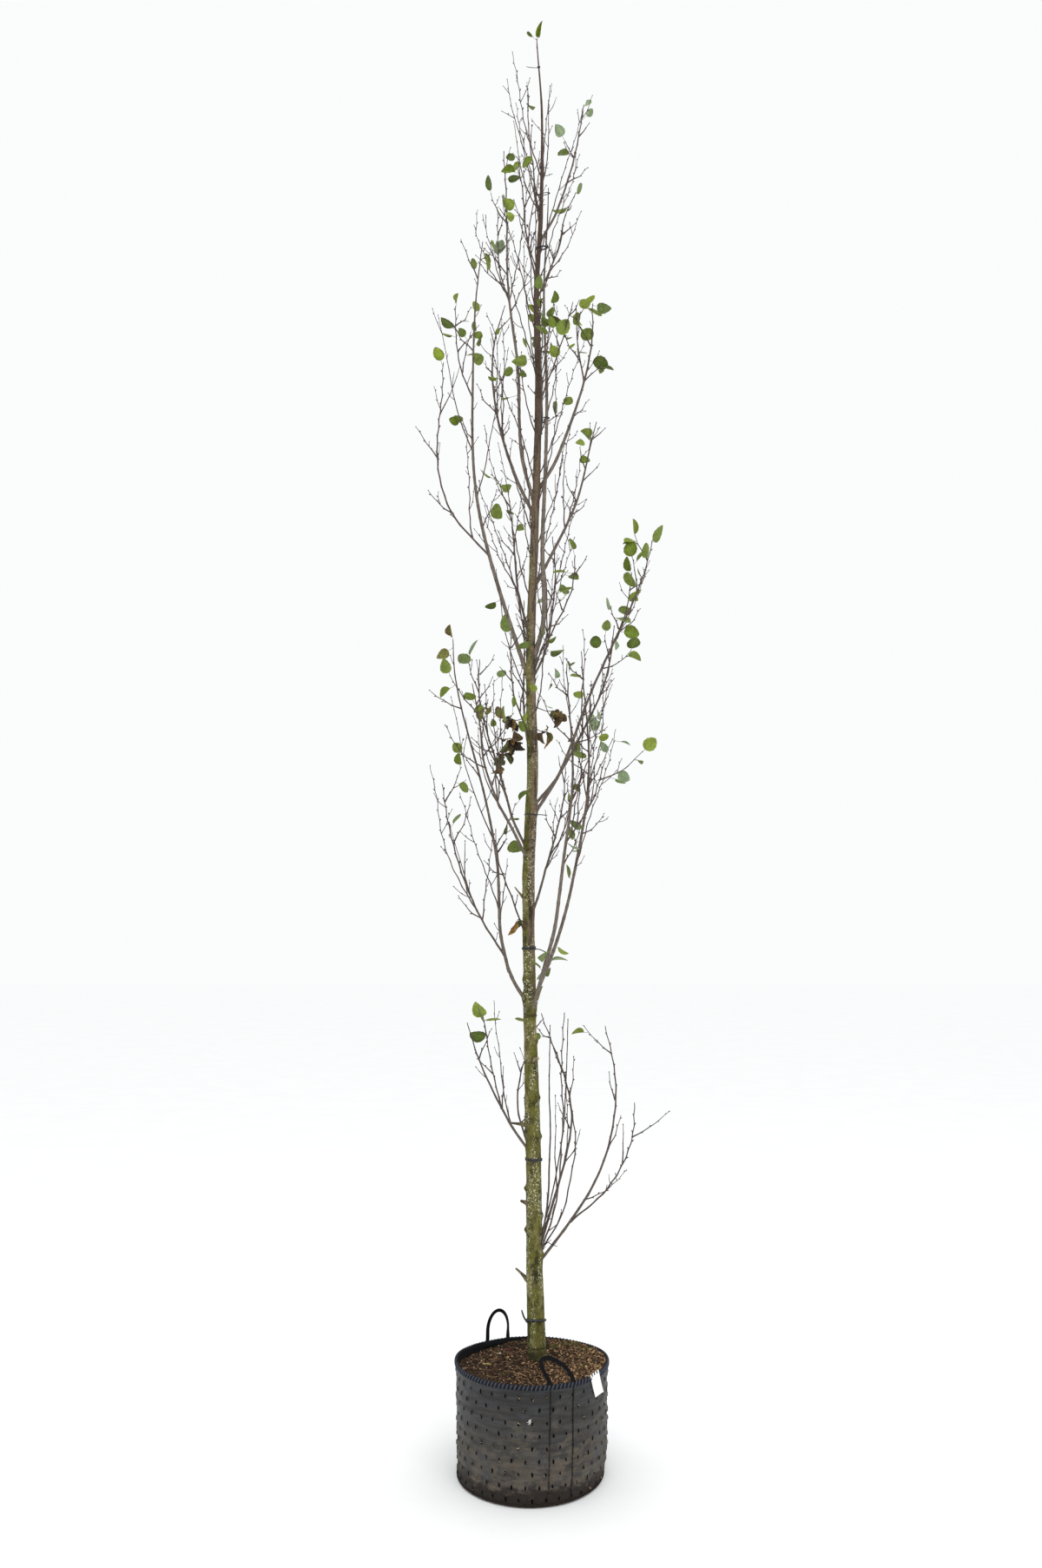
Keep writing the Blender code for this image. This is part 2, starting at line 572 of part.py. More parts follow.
def leaf_solid(leaf):
    """A thin leaf of ten faces: six points round its edge and one raised on its face."""
    right = [leaf.root.lerp(leaf.tip, along) + leaf.across * out for along, out in LEAF_EDGE]
    left = [leaf.root.lerp(leaf.tip, along) - leaf.across * out for along, out in LEAF_EDGE[::-1]]
    edge = [leaf.root] + right + [leaf.tip] + left
    crown = leaf.root.lerp(leaf.tip, LEAF_CROWN) + leaf.face * LEAF_THICKNESS
    faces = [(corner, (corner + 1) % 6, 6) for corner in range(6)]
    faces += [(0, 5, 1), (1, 5, 2), (5, 4, 2), (2, 4, 3)]
    return edge + [crown], faces


def twig_solid(line):
    radii = [TIP_RADIUS * (1.7 - 0.7 * number / (len(line) - 1)) for number in range(len(line))]
    return tube(line, radii, TWIG_SIDES)


def build_foliage(mass):
    """A mass of foliage: stems, twigs and leaves fused into one solid."""
    solids = []
    for number, (points, radii) in enumerate(mass.stems):
        from_trunk = number == 0 and mass.limb.bare == 0 and mass.limb is not CROWN_TIP
        if from_trunk:
            solids.append(cut_at_trunk(*tube(*rooted(points, radii), STEM_SIDES, spin=0.3)))
        else:
            first = limb_along(mass.limb, mass.limb.bare) if number == 0 and mass.limb.bare else None
            solids.append(tube(points, radii, STEM_SIDES, spin=0.3, first=first))
    solids += [twig_solid(line) for line in mass.twigs]
    solids += [leaf_solid(leaf) for leaf in mass.leaves]
    return fuse(mass.name, solids, "leaf")


def evaluated_mesh(thing):
    """A copy of an object's mesh as its modifiers leave it."""
    bpy.context.view_layer.update()
    return bpy.data.meshes.new_from_object(thing.evaluated_get(bpy.context.evaluated_depsgraph_get()))


def fuse(name, solids, paint_name):
    """One Boolean union of the first solid with the others. A union that doesn't close is made
    again with the next solver, and if none closes it, without the last of the solids."""
    while True:
        base = add_object(name, *solids[0], paint_name)
        group = bpy.data.collections.new(name + "_pieces")
        bpy.context.scene.collection.children.link(group)
        for number, (verts, faces) in enumerate(solids[1:]):
            piece = add_object(f"{name}_piece_{number}", verts, faces, paint_name)
            bpy.context.scene.collection.objects.unlink(piece)
            group.objects.link(piece)
        union = base.modifiers.new("union", "BOOLEAN")
        union.operation = "UNION"
        union.operand_type = "COLLECTION"
        union.collection = group
        closed = False
        for solver in SOLVERS:
            union.solver = solver
            joined = evaluated_mesh(base)
            closed = keep_main_shell(joined)
            if closed:
                break
        base.modifiers.clear()
        for piece in list(group.objects):
            bpy.data.objects.remove(piece, do_unlink=True)
        bpy.data.collections.remove(group)
        if closed or len(solids) == 1:
            base.data = joined
            return base
        bpy.data.objects.remove(base, do_unlink=True)
        solids = solids[:-1]


def keep_main_shell(mesh):
    """Triangulate, drop the scraps beside the largest shell, and say whether it is whole."""
    shell = bmesh.new()
    shell.from_mesh(mesh)
    bmesh.ops.triangulate(shell, faces=shell.faces)
    remaining = set(shell.faces)
    islands = []
    while remaining:
        first = remaining.pop()
        island = [first]
        for face in island:
            for edge in face.edges:
                if len(edge.link_faces) == 2:
                    for other in edge.link_faces:
                        if other in remaining:
                            remaining.discard(other)
                            island.append(other)
        islands.append(island)
    islands.sort(key=len, reverse=True)
    scraps = sum(len(island) for island in islands[1:])
    closed = scraps < SCRAP_FACES
    for island in islands[1:]:
        bmesh.ops.delete(shell, geom=island, context="FACES")
    closed = closed and all(len(edge.link_faces) == 2 for edge in shell.edges)
    closed = closed and all(vert.is_manifold for vert in shell.verts)
    shell.to_mesh(mesh)
    shell.free()
    return closed


# ---------------------------------------------------------------- bag, soil, loops and tag
def turned(name, profile, paint_name, sides=BAG_SIDES, lift=None):
    """A solid turned about Z from a profile that starts and ends on the axis, or is closed."""
    on_axis = profile[0][0] == 0
    rim_points = profile[1:-1] if on_axis else profile
    verts = []
    for corner in range(sides):
        azimuth = 360 * corner / sides
        for radius, height in rim_points:
            raised = lift(radius, height, azimuth) if lift else height
            verts.append(heading(azimuth) * radius + UP * raised)
    rows = len(rim_points)
    faces = []
    for corner in range(sides):
        following = (corner + 1) % sides
        for row in range(rows - 1 if on_axis else rows):
            after = (row + 1) % rows
            faces.append((corner * rows + row, following * rows + row,
                          following * rows + after, corner * rows + after))
    if on_axis:
        verts += [Vector((0, 0, profile[0][1])), Vector((0, 0, profile[-1][1]))]
        for corner in range(sides):
            following = (corner + 1) % sides
            faces.append((sides * rows, following * rows, corner * rows))
            faces.append((sides * rows + 1, corner * rows + rows - 1, following * rows + rows - 1))
    return add_object(name, verts, faces, paint_name, 40)


def corner_arc(radius, size, inset):
    """The rounded corner between underside and wall, drawn inset from the outside."""
    centre_radius, centre_height = radius - size, size
    arc = []
    for step in range(3):
        turn = math.radians(-90 + 45 * step)
        arc.append((centre_radius + (size - inset) * math.cos(turn),
                    centre_height + (size - inset) * math.sin(turn)))
    return arc


def build_bag():
    """The bag's wall and bottom: a cup, open at the top."""
    wall_top = BAG_HEIGHT - HEM_HEIGHT - GAP
    top_radius = BAG_FOOT_RADIUS + (BAG_RIM_RADIUS - BAG_FOOT_RADIUS) * wall_top / BAG_HEIGHT
    outside = [(0, 0)] + corner_arc(BAG_FOOT_RADIUS, BAG_CORNER, 0) + [(top_radius, wall_top)]
    inside = corner_arc(BAG_FOOT_RADIUS, BAG_CORNER, BAG_WALL)[::-1]
    inner_top = (top_radius - BAG_WALL, wall_top)
    return turned("bag_wall", outside + [inner_top] + inside + [(0, BAG_WALL)], "bag")


def build_hem():
    """The rolled hem round the rim, on top of the wall."""
    outer = BAG_RIM_RADIUS + HEM_PROUD
    inner = outer - HEM_THICKNESS
    low = BAG_HEIGHT - HEM_HEIGHT
    profile = [(inner, low), (outer, low), (outer, BAG_HEIGHT - HEM_SOFT),
               (outer - HEM_SOFT, BAG_HEIGHT), (inner, BAG_HEIGHT)]
    return turned("bag_hem", profile, "webbing")


def soil_height(radius, height, azimuth):
    """Lower the soil's edge on one side; its underside stays level."""
    if height < SOIL_EDGE_LEVEL - 0.01:
        return height
    share = min(max((radius - SOIL_FLAT_RADIUS) / (BAG_FOOT_RADIUS - SOIL_FLAT_RADIUS), 0), 1)
    side = max(0.0, math.cos(math.radians(azimuth - SOIL_DIP_AZIMUTH))) ** 2
    return height - SOIL_EDGE_DIP * side * share ** 1.5


def build_soil():
    """The potting soil that fills the bag, level round the trunk's foot."""
    growth = (BAG_RIM_RADIUS - BAG_FOOT_RADIUS) / BAG_HEIGHT
    inner_foot = BAG_FOOT_RADIUS - BAG_WALL - SOIL_PLAY
    edge_radius = inner_foot + growth * SOIL_EDGE_LEVEL
    middle_radius = (edge_radius + SOIL_FLAT_RADIUS) / 2
    bottom = BAG_WALL + GAP
    corner = corner_arc(BAG_FOOT_RADIUS - (SOIL_PLAY - GAP), BAG_CORNER, bottom)
    low_wall = (inner_foot + growth * SOIL_SHOULDER, SOIL_SHOULDER)
    top = [(edge_radius, SOIL_EDGE_LEVEL), (middle_radius, (SOIL_EDGE_LEVEL + SOIL_LEVEL) / 2 + 0.001),
           (SOIL_FLAT_RADIUS, SOIL_LEVEL), (0, SOIL_LEVEL)]
    profile = [(0, bottom)] + corner + [low_wall] + top
    return turned("soil", profile, "soil", lift=soil_height)


def loop_point(share):
    """A carrying loop's shape: two straight legs and an arch, as (across, up)."""
    half = LOOP_SPAN / 2
    if share <= LOOP_LEG_SHARE:
        return -half, LOOP_LEG * share / LOOP_LEG_SHARE
    if share >= 1 - LOOP_LEG_SHARE:
        return half, LOOP_LEG * (1 - share) / LOOP_LEG_SHARE
    turn = math.pi * (share - LOOP_LEG_SHARE) / (1 - 2 * LOOP_LEG_SHARE)
    return -half * math.cos(turn), LOOP_LEG + LOOP_ARCH * math.sin(turn)


def build_loop(name, azimuth, inward, left, drop):
    """A loop of flat webbing: it stands flat to the wall at its feet and turns on its way up."""
    out = heading(azimuth)
    across = UP.cross(out)
    foot = out * (BAG_RIM_RADIUS - LOOP_IN_FROM_RIM) + UP * (BAG_HEIGHT + GAP)
    full = LOOP_LEG + LOOP_ARCH
    count = LOOP_STEPS
    line = []
    for number in range(count + 1):
        side, up = loop_point(number / count)
        lean = (up / full) ** 1.3
        line.append(foot + across * side + UP * (up - drop * lean) - out * inward * lean
                    + Vector((-1, 0, 0)) * left * lean)
    verts = []
    faces = []
    for number, point in enumerate(line):
        along = (line[min(number + 1, count)] - line[max(number - 1, 0)]).normalized()
        if number in (0, count):
            along = UP if number == 0 else -UP
        rise = (point.z - foot.z) / full
        turn = math.radians(90) * min(1, rise * LOOP_TURN_RATE)
        in_plane = along.cross(out).normalized()
        through = in_plane.cross(along).normalized()
        width = in_plane * math.cos(turn) + through * math.sin(turn)
        depth = along.cross(width).normalized()
        for a, b in ((-1, -1), (1, -1), (1, 1), (-1, 1)):
            verts.append(point + width * a * STRAP_WIDTH / 2 + depth * b * STRAP_THICKNESS / 2)
    for ring in range(count):
        for corner in range(4):
            following = (corner + 1) % 4
            low, high = ring * 4, (ring + 1) * 4
            faces.append((low + corner, low + following, high + following, high + corner))
    faces.append((3, 2, 1, 0))
    faces.append(tuple(count * 4 + corner for corner in range(4)))
    return add_object(name, verts, faces, "webbing")


def build_tag():
    """A blank strip with a torn, notched top, hung just outside the hem."""
    half, step = TAG_WIDTH / 2, TAG_WIDTH / (2 * TAG_NOTCHES + 1)
    outline = [(-half, -TAG_LENGTH), (half, -TAG_LENGTH)]
    for number in range(2 * TAG_NOTCHES + 1):
        right = half - number * step
        level = 0 if number % 2 == 0 else -TAG_NOTCH_DEPTH
        outline += [(right, level), (right - step, level)]
    out = heading(TAG_AZIMUTH)
    facing = heading(TAG_AZIMUTH + TAG_TURN)
    level_side = UP.cross(facing)
    tilt = Matrix.Rotation(math.radians(TAG_TILT), 3, facing)
    side, up = tilt @ level_side, tilt @ UP
    hem_face = BAG_RIM_RADIUS + HEM_PROUD
    clear = hem_face + TAG_THICKNESS / 2 + TAG_CLEAR
    middle = out * clear + UP * (BAG_HEIGHT + TAG_RAISED)
    verts = []
    for offset in (-TAG_THICKNESS / 2, TAG_THICKNESS / 2):
        verts += [middle + side * x + up * y + facing * offset for x, y in outline]
    count = len(outline)
    faces = [tuple(range(count)), tuple(range(2 * count - 1, count - 1, -1))]
    for number in range(count):
        following = (number + 1) % count
        faces.append((number, following, count + following, count + number))
    return add_object("tag", verts, faces, "tag")


# ---------------------------------------------------------------- the whole plant
def build_all():
    for old in list(bpy.data.objects):
        bpy.data.objects.remove(old, do_unlink=True)
    build_bag()
    build_hem()
    build_soil()
    build_loop("loop_back", BACK_LOOP_AZIMUTH, BACK_LOOP_INWARD, 0.0, 0.0)
    build_loop("loop_front", FRONT_LOOP_AZIMUTH, FRONT_LOOP_INWARD, FRONT_LOOP_LEFT, FRONT_LOOP_DROP)
    build_tag()
    build_trunk()
    build_bough(CO_LEADER, "co_leader")

    room = Room()
    for number in range(int((TRUNK_TIP - TRUNK_FOOT) / ROOM_STEP)):
        low = TRUNK_FOOT + ROOM_STEP * number
        room.take("trunk", [trunk_centre(low), trunk_centre(low + ROOM_STEP)], ring_radius(low, 0))
    room.take("co_leader", limb_line(CO_LEADER, 0, 1)[0], CO_LEADER.girth / 2)
    masses = [Foliage(limb) for limb in (*LIMBS, CROWN_TIP)]
    for limb in LIMBS:
        if limb.bare:
            points, radii = limb_line(limb, 0, limb.bare)
            room.take("bough_" + limb.name, points, max(radii))
            build_bough(limb, "bough_" + limb.name)
    for mass in masses:
        mass.set_out(room)
    for mass in masses:
        mass.grow(room)
        build_foliage(mass)


build_all()
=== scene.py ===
"""The looks of a young tree that stands in its nursery grow bag.

The tree grows here by the same rule as its solids and from the same seeds, and goes on to finer
twigs, buds and leaves. The bag, its soil, webbing and tag are built on the solids' own sizes.
Metres, +Z up, -Y to the front.
"""

import random
from collections import namedtuple
from math import atan2, ceil, cos, degrees, exp, hypot, pi, radians, sin, sqrt, tan, tau

import bpy
import numpy as np
from mathutils import Matrix, Vector, noise


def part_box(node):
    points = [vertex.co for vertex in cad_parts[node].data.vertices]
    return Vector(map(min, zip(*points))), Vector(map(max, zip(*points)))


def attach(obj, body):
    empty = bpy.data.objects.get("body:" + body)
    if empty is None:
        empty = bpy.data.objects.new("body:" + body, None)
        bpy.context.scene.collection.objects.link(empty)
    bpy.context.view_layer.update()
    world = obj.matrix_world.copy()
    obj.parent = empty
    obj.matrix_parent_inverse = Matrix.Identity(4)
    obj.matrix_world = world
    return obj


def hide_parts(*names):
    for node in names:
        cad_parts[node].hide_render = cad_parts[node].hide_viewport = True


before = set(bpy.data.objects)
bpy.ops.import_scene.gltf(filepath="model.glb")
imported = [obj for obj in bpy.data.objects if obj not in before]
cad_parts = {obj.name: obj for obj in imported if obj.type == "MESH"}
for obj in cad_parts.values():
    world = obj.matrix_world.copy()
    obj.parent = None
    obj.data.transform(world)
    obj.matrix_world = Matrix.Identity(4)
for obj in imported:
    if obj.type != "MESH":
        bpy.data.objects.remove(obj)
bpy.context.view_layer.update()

UP = Vector((0, 0, 1))
GAP = 0.0003

# ---- the viewer, the floor and the lamp ----
CAMERA_PLACE = (-0.0323, -3.858, 1.6257)
CAMERA_TILT = 6.518  # degrees above level
CAMERA_LENS = 28.153  # mm, on a frame 36 mm tall
FLOOR_SIZE = 60.0
LAMP_PLACE = (0.9, -3.8, 6.6)
LAMP_AIM = Vector((0, 0, 1.6))
LAMP_POWER = 130  # watts
LAMP_SIZE = 4.5

# ---- the grow bag ----
BAG_FOOT_RADIUS = 0.2205
BAG_RIM_RADIUS = 0.2282
BAG_HEIGHT = 0.331
BAG_CORNER = 0.009
BAG_WALL = 0.003
HEM_HEIGHT = 0.0133
HEM_THICKNESS = 0.0062
HEM_PROUD = 0.0012
SOIL_LEVEL = 0.323
SOIL_FLAT_RADIUS = 0.07
SOIL_EDGE_LEVEL = 0.3288
SOIL_EDGE_DIP = 0.025
SOIL_DIP_AZIMUTH = 148
RIM_SAG = 0.011  # how far the rim hangs down at the back
STRAP_WIDTH = 0.012
STRAP_THICKNESS = 0.0026
LOOP_SPAN = 0.072
LOOP_LEG = 0.030
LOOP_ARCH = 0.058
LOOP_LEG_SHARE = 0.18
LOOP_IN_FROM_RIM = 0.0019
# Each loop: name, node, azimuth, how far it leans inward and left and drops, how far its ends run
# down behind the hem, and its twist as (share of the way, degrees).
LOOPS = (
    ("back_strap", "loop_back", 118, 0.004, 0.0, 0.0, 0.050,
     ((0.0, 50), (0.2, 88), (0.5, 25), (0.8, 8), (1.0, 0))),
    ("front_strap", "loop_front", -68, 0.046, 0.030, 0.034, 0.020,
     ((0.0, 10), (0.25, 60), (0.5, 34), (0.75, 14), (1.0, 0))),
)
TAG_WIDTH = 0.032
TAG_LENGTH = 0.070
TAG_THICKNESS = 0.0012
TAG_AZIMUTH = -40
TAG_TURN = -14
TAG_TILT = 18
TAG_NOTCHES = 3
TAG_NOTCH_DEPTH = 0.009
TAG_CLEAR = 0.0024
TAG_RAISED = 0.010

BAG_STEPS = 260  # facets round the bag
SLIT_COLUMNS = 36
SLIT_ROWS = 9
SLIT_TOP = 0.298
SLIT_PITCH = 0.0345
SLIT_SIZE = (0.0029, 0.0063)  # half its width and half its height
TUFT_ROOTS = 12  # in the pale tuft that pokes out of the front
TUFT_AZIMUTH = -92
TUFT_HEIGHT = 0.236
STITCHES = 120  # round the hem
SEAM_TOP = 0.316
SEAM_FALL = 0.302  # how far down the wall the straps' seams run
SEAM_LEAN = 1.2  # degrees round the bag on that way
SEAM_PITCH = 0.0068
FOOT_STITCHES = 140
SOIL_CHIPS = 10500
SOIL_FIBRES = 420

# ---- the trunk: its centre line (height, x, y) and its thickness (height, diameter) ----
TRUNK_LINE = (
    (0.323, 0.016, 0.022), (0.60, 0.009, 0.020), (0.95, 0.006, 0.016), (1.37, -0.005, 0.012),
    (1.80, -0.008, 0.008), (2.10, 0.004, 0.004), (2.50, -0.001, 0.000), (3.00, 0.016, 0.002),
    (3.35, 0.025, 0.004), (3.70, 0.019, 0.002), (4.00, 0.035, 0.000), (4.35, 0.038, 0.002),
    (4.585, 0.023, 0.000),
)
TRUNK_GIRTH = (
    (0.323, 0.0555), (0.60, 0.0505), (0.95, 0.0465), (1.37, 0.0395), (1.85, 0.0385), (2.10, 0.0355),
    (2.40, 0.0300), (3.00, 0.0255), (3.50, 0.0200), (4.00, 0.0135), (4.35, 0.0075), (4.585, 0.0042),
)
TRUNK_FOOT = TRUNK_LINE[0][0] + GAP
TRUNK_TIP = TRUNK_LINE[-1][0]
FLARE_RISE = 0.045
FLARE_SPREAD = 0.12
FLARE_LOBES = 3
TRUNK_SIDES = 40
TRUNK_STEP = 0.0055
STUB_SIDES = 12

# Pruned stubs and old wounds on the trunk: height, azimuth, lean, length, diameter.
STUBS = (
    (0.540, 165, 50, 0.050, 0.011),
    (0.775, 195, 70, 0.020, 0.014),
    (1.010, 185, 82, 0.052, 0.010),
    (1.208, 300, 75, 0.024, 0.016),
    (1.700, 190, 40, 0.045, 0.007),
)
# Swellings: height, azimuth, how far it stands out, its half height, how dark it is.
KNOTS = (
    (0.822, 178, 0.0075, 0.0075, 0.8), (0.699, 184, 0.0080, 0.0085, 0.8), (0.976, 8, 0.0060, 0.0085, 0.5),
    (1.266, 5, 0.0050, 0.0080, 0.5), (1.094, 8, 0.0050, 0.0075, 0.6), (0.740, 2, 0.0060, 0.0100, 0.7),
    (0.627, 12, 0.0060, 0.0090, 0.6), (0.573, 268, 0.0040, 0.0110, 0.6), (1.858, 262, 0.0036, 0.0080, 0.6),
    (1.663, 285, 0.0026, 0.0180, 0.3), (0.640, 95, 0.0050, 0.0100, 0.6), (1.150, 110, 0.0050, 0.0090, 0.6),
    (1.520, 75, 0.0045, 0.0090, 0.5), (0.900, 60, 0.0045, 0.0080, 0.5), (2.150, 100, 0.0040, 0.0080, 0.5),
    (1.330, 150, 0.0045, 0.0090, 0.5), (1.020, 180, 0.0040, 0.0100, 0.4), (1.455, 185, 0.0040, 0.0110, 0.4),
)
# Dark healed wounds: height, azimuth, half width, half height.
WOUNDS = (
    (0.573, 268, 0.009, 0.006), (1.858, 262, 0.006, 0.005), (1.663, 285, 0.005, 0.024),
    (0.640, 95, 0.008, 0.006), (1.150, 110, 0.007, 0.005), (1.094, 350, 0.005, 0.004),
    (0.334, 236, 0.024, 0.015),
)
# Dark rings round the bark: height, half height, strength.
BARK_RINGS = (
    (0.357, 0.0035, 1.0), (0.342, 0.011, 0.75), (1.344, 0.006, 0.9), (1.020, 0.004, 0.35),
    (1.480, 0.003, 0.4), (1.740, 0.003, 0.45), (2.420, 0.004, 0.5), (0.660, 0.003, 0.35),
)
# The bark's relief: how high it stands, then how often it changes across and upright.
BARK_RELIEF = ((0.0017, 26, 9), (0.0009, 90, 34), (0.0005, 240, 110))

# ---- the limbs ----
# height: where it leaves the trunk. azimuth: 0 right, 90 back, 180 left, 270 front, and it
# turns by sweep on its way up. It leaves leaning exit_lean degrees from upright, passes
# elbow_reach from the trunk's centre line at elbow_rise, and ends at rise and reach, leaning
# tip_lean. girth is its base diameter, bare the share of it that is a bough; foliage follows.
Limb = namedtuple("Limb", "name height azimuth sweep exit_lean elbow_rise elbow_reach rise reach "
                  "tip_lean girth bare twigs twig_length leaves seed")
LIMBS = [Limb(*row) for row in (
    ("low_right", 0.610, 25, 0, 45, 0.30, 0.260, 0.69, 0.265, -15, 0.0090, 0.12, 7, 0.17, 2, 11),
    ("low_back", 0.655, 32, 46, 20, 0.44, 0.240, 0.68, 0.180, -40, 0.0085, 0.20, 5, 0.15, 2, 12),
    ("low_left", 0.945, 205, 0, 40, 0.135, 0.110, 0.38, 0.210, 10, 0.0080, 0.20, 4, 0.13, 4, 13),
    ("low_inner", 0.935, 125, -48, 45, 0.14, 0.130, 0.44, 0.110, -10, 0.0060, 0.00, 3, 0.12, 2, 14),
    ("right_front", 1.370, -55, 0, 20, 0.30, 0.160, 1.05, 0.190, -3, 0.0130, 0.34, 7, 0.20, 8, 21),
    ("right_back", 1.400, 35, 0, 30, 0.48, 0.205, 1.12, 0.205, -3, 0.0120, 0.36, 7, 0.20, 9, 22),
    ("left_long", 1.400, 183, 0, 35, 0.45, 0.105, 1.13, 0.250, 0, 0.0110, 0.08, 8, 0.19, 11, 23),
    ("left_back", 1.600, 135, 0, 25, 0.15, 0.100, 0.33, 0.160, 10, 0.0060, 0.00, 3, 0.12, 3, 24),
    ("back_right", 1.650, 65, 0, 35, 0.18, 0.160, 0.50, 0.270, 10, 0.0085, 0.30, 5, 0.17, 6, 25),
    ("left_front", 1.840, 232, 0, 40, 0.20, 0.200, 0.50, 0.290, 15, 0.0095, 0.30, 6, 0.18, 8, 26),
    ("left_upright", 1.880, 158, 0, 35, 0.22, 0.110, 0.60, 0.180, -10, 0.0085, 0.25, 6, 0.16, 7, 27),
    ("long_right", 1.985, 2, 0, 35, 0.35, 0.180, 0.88, 0.385, 8, 0.0105, 0.46, 7, 0.15, 15, 31),
    ("front_right", 2.005, -38, 0, 50, 0.16, 0.165, 0.52, 0.320, 0, 0.0095, 0.26, 6, 0.15, 10, 32),
    ("back_mid", 2.060, 97, 0, 35, 0.25, 0.140, 0.66, 0.230, 5, 0.0090, 0.32, 6, 0.17, 8, 33),
    ("front_inner", 2.220, 243, 0, 45, 0.10, 0.110, 0.30, 0.140, 0, 0.0055, 0.00, 3, 0.10, 4, 34),
    ("right_inner", 2.410, 65, 0, 40, 0.16, 0.150, 0.50, 0.145, -10, 0.0080, 0.28, 4, 0.14, 4, 41),
    ("left_tall", 2.430, 178, 0, 18, 0.62, 0.200, 1.46, 0.190, -2, 0.0140, 0.24, 10, 0.20, 18, 42),
    ("front_arch", 2.440, -60, 0, 55, 0.10, 0.150, 0.30, 0.255, -10, 0.0055, 0.00, 3, 0.10, 4, 43),
    ("back_left", 2.540, 118, 0, 25, 0.28, 0.130, 0.54, 0.200, 15, 0.0085, 0.32, 5, 0.15, 5, 44),
    ("right_high", 2.720, 15, 0, 25, 0.29, 0.140, 0.56, 0.200, 15, 0.0105, 0.34, 6, 0.15, 4, 45),
    ("left_bowed", 2.960, 145, 0, 30, 0.36, 0.165, 0.74, 0.130, -30, 0.0115, 0.30, 6, 0.14, 9, 51),
    ("left_crown", 3.010, 197, 0, 24, 0.47, 0.075, 1.17, 0.135, 5, 0.0115, 0.30, 9, 0.15, 13, 52),
    ("right_crown", 3.040, 22, -37, 35, 0.20, 0.100, 0.60, 0.190, 0, 0.0115, 0.30, 6, 0.14, 11, 53),
    ("back_crown", 3.180, 82, 0, 30, 0.20, 0.095, 0.54, 0.150, 5, 0.0065, 0.00, 5, 0.13, 7, 54),
    ("front_crown", 3.210, 277, 0, 25, 0.15, 0.060, 0.44, 0.100, 5, 0.0060, 0.00, 4, 0.11, 7, 55),
    ("front_spray", 3.330, -60, 0, 50, 0.08, 0.100, 0.24, 0.220, 20, 0.0055, 0.00, 3, 0.10, 6, 56),
    ("right_tip", 3.700, 48, -10, 34, 0.20, 0.085, 0.42, 0.150, 35, 0.0060, 0.00, 4, 0.10, 4, 61),
    ("left_tip", 3.760, 228, 0, 25, 0.15, 0.070, 0.36, 0.120, 12, 0.0060, 0.00, 4, 0.10, 6, 62),
    ("right_top", 3.900, 8, 0, 30, 0.20, 0.085, 0.49, 0.145, 10, 0.0080, 0.30, 4, 0.10, 4, 63),
    ("left_top", 3.990, 117, 0, 25, 0.20, 0.075, 0.50, 0.085, -5, 0.0060, 0.00, 4, 0.09, 4, 64),
)]
# Second stems: they leave their limb at at_rise and keep the other measures from there.
Fork = namedtuple("Fork", "limb at_rise azimuth exit_lean elbow_rise elbow_reach rise reach tip_lean girth")
FORKS = [Fork(*row) for row in (
    ("low_right", 0.10, -25, 50, 0.13, 0.140, 0.37, 0.215, -5, 0.0055),
    ("low_left", 0.12, 170, 15, 0.12, 0.030, 0.26, 0.055, 10, 0.0045),
    ("right_front", 0.50, -15, 45, 0.08, 0.060, 0.24, 0.120, 15, 0.0050),
    ("right_back", 0.62, 80, 35, 0.15, 0.070, 0.36, 0.110, 5, 0.0050),
    ("left_long", 0.13, 215, 40, 0.17, 0.120, 0.52, 0.230, 8, 0.0065),
    ("long_right", 0.52, 35, 35, 0.12, 0.060, 0.26, 0.090, -5, 0.0045),
    ("left_tall", 0.38, 217, 60, 0.12, 0.150, 0.60, 0.185, 5, 0.0065),
    ("left_tall", 0.92, 140, 35, 0.14, 0.060, 0.34, 0.080, 0, 0.0050),
    ("right_crown", 0.36, 170, 12, 0.10, 0.018, 0.26, 0.025, 5, 0.0050),
    ("left_crown", 0.66, 120, 40, 0.12, 0.060, 0.34, 0.080, 0, 0.0050),
)]
CO_LEADER = Limb("co_leader", 2.475, -28, 12, 24, 0.40, 0.0285, 1.60, 0.0235, 0,
                 0.0160, 1.0, 0, 0.0, 0, 7)
CROWN_TIP = Limb("crown_tip", 0, 150, 0, 0, 0, 0, 0.030, 0, 0, 0.0036, 0, 0, 0.0, 2, 70)

TIP_RADIUS = 0.0013
TAPER = 0.8
ROOM_STEP = 0.05
RING_STEP = 0.105
WANDER = 0.007
TWIG_STEPS = 2
TWIG_ZONE = (0.06, 0.94)
TWIG_SCATTER = (0.3, 0.8)
TWIG_SHARES = (0.55, 1.25)
TWIG_SHORTER_UP = 0.45
TWIG_LEAN = (28, 52)
TWIG_PLAY = 0.16
TWIG_LIFT = 0.45
SPIRAL = 137.5
SPIRAL_PLAY = 30
LEAVES_TOGETHER = 2.6
HIGH_SHARE = 1.7
LEAF_SPACING = 0.17
LEAF_LENGTH = (0.046, 0.064)
LEAF_WIDTH = 0.80
LEAF_TRIES = 7
KEEP_CLEAR = 0.0012
LEAF_RIBS = (-0.8, -0.42, 0.42, 0.8)
LEAF_RIB_RADIUS = 0.0038

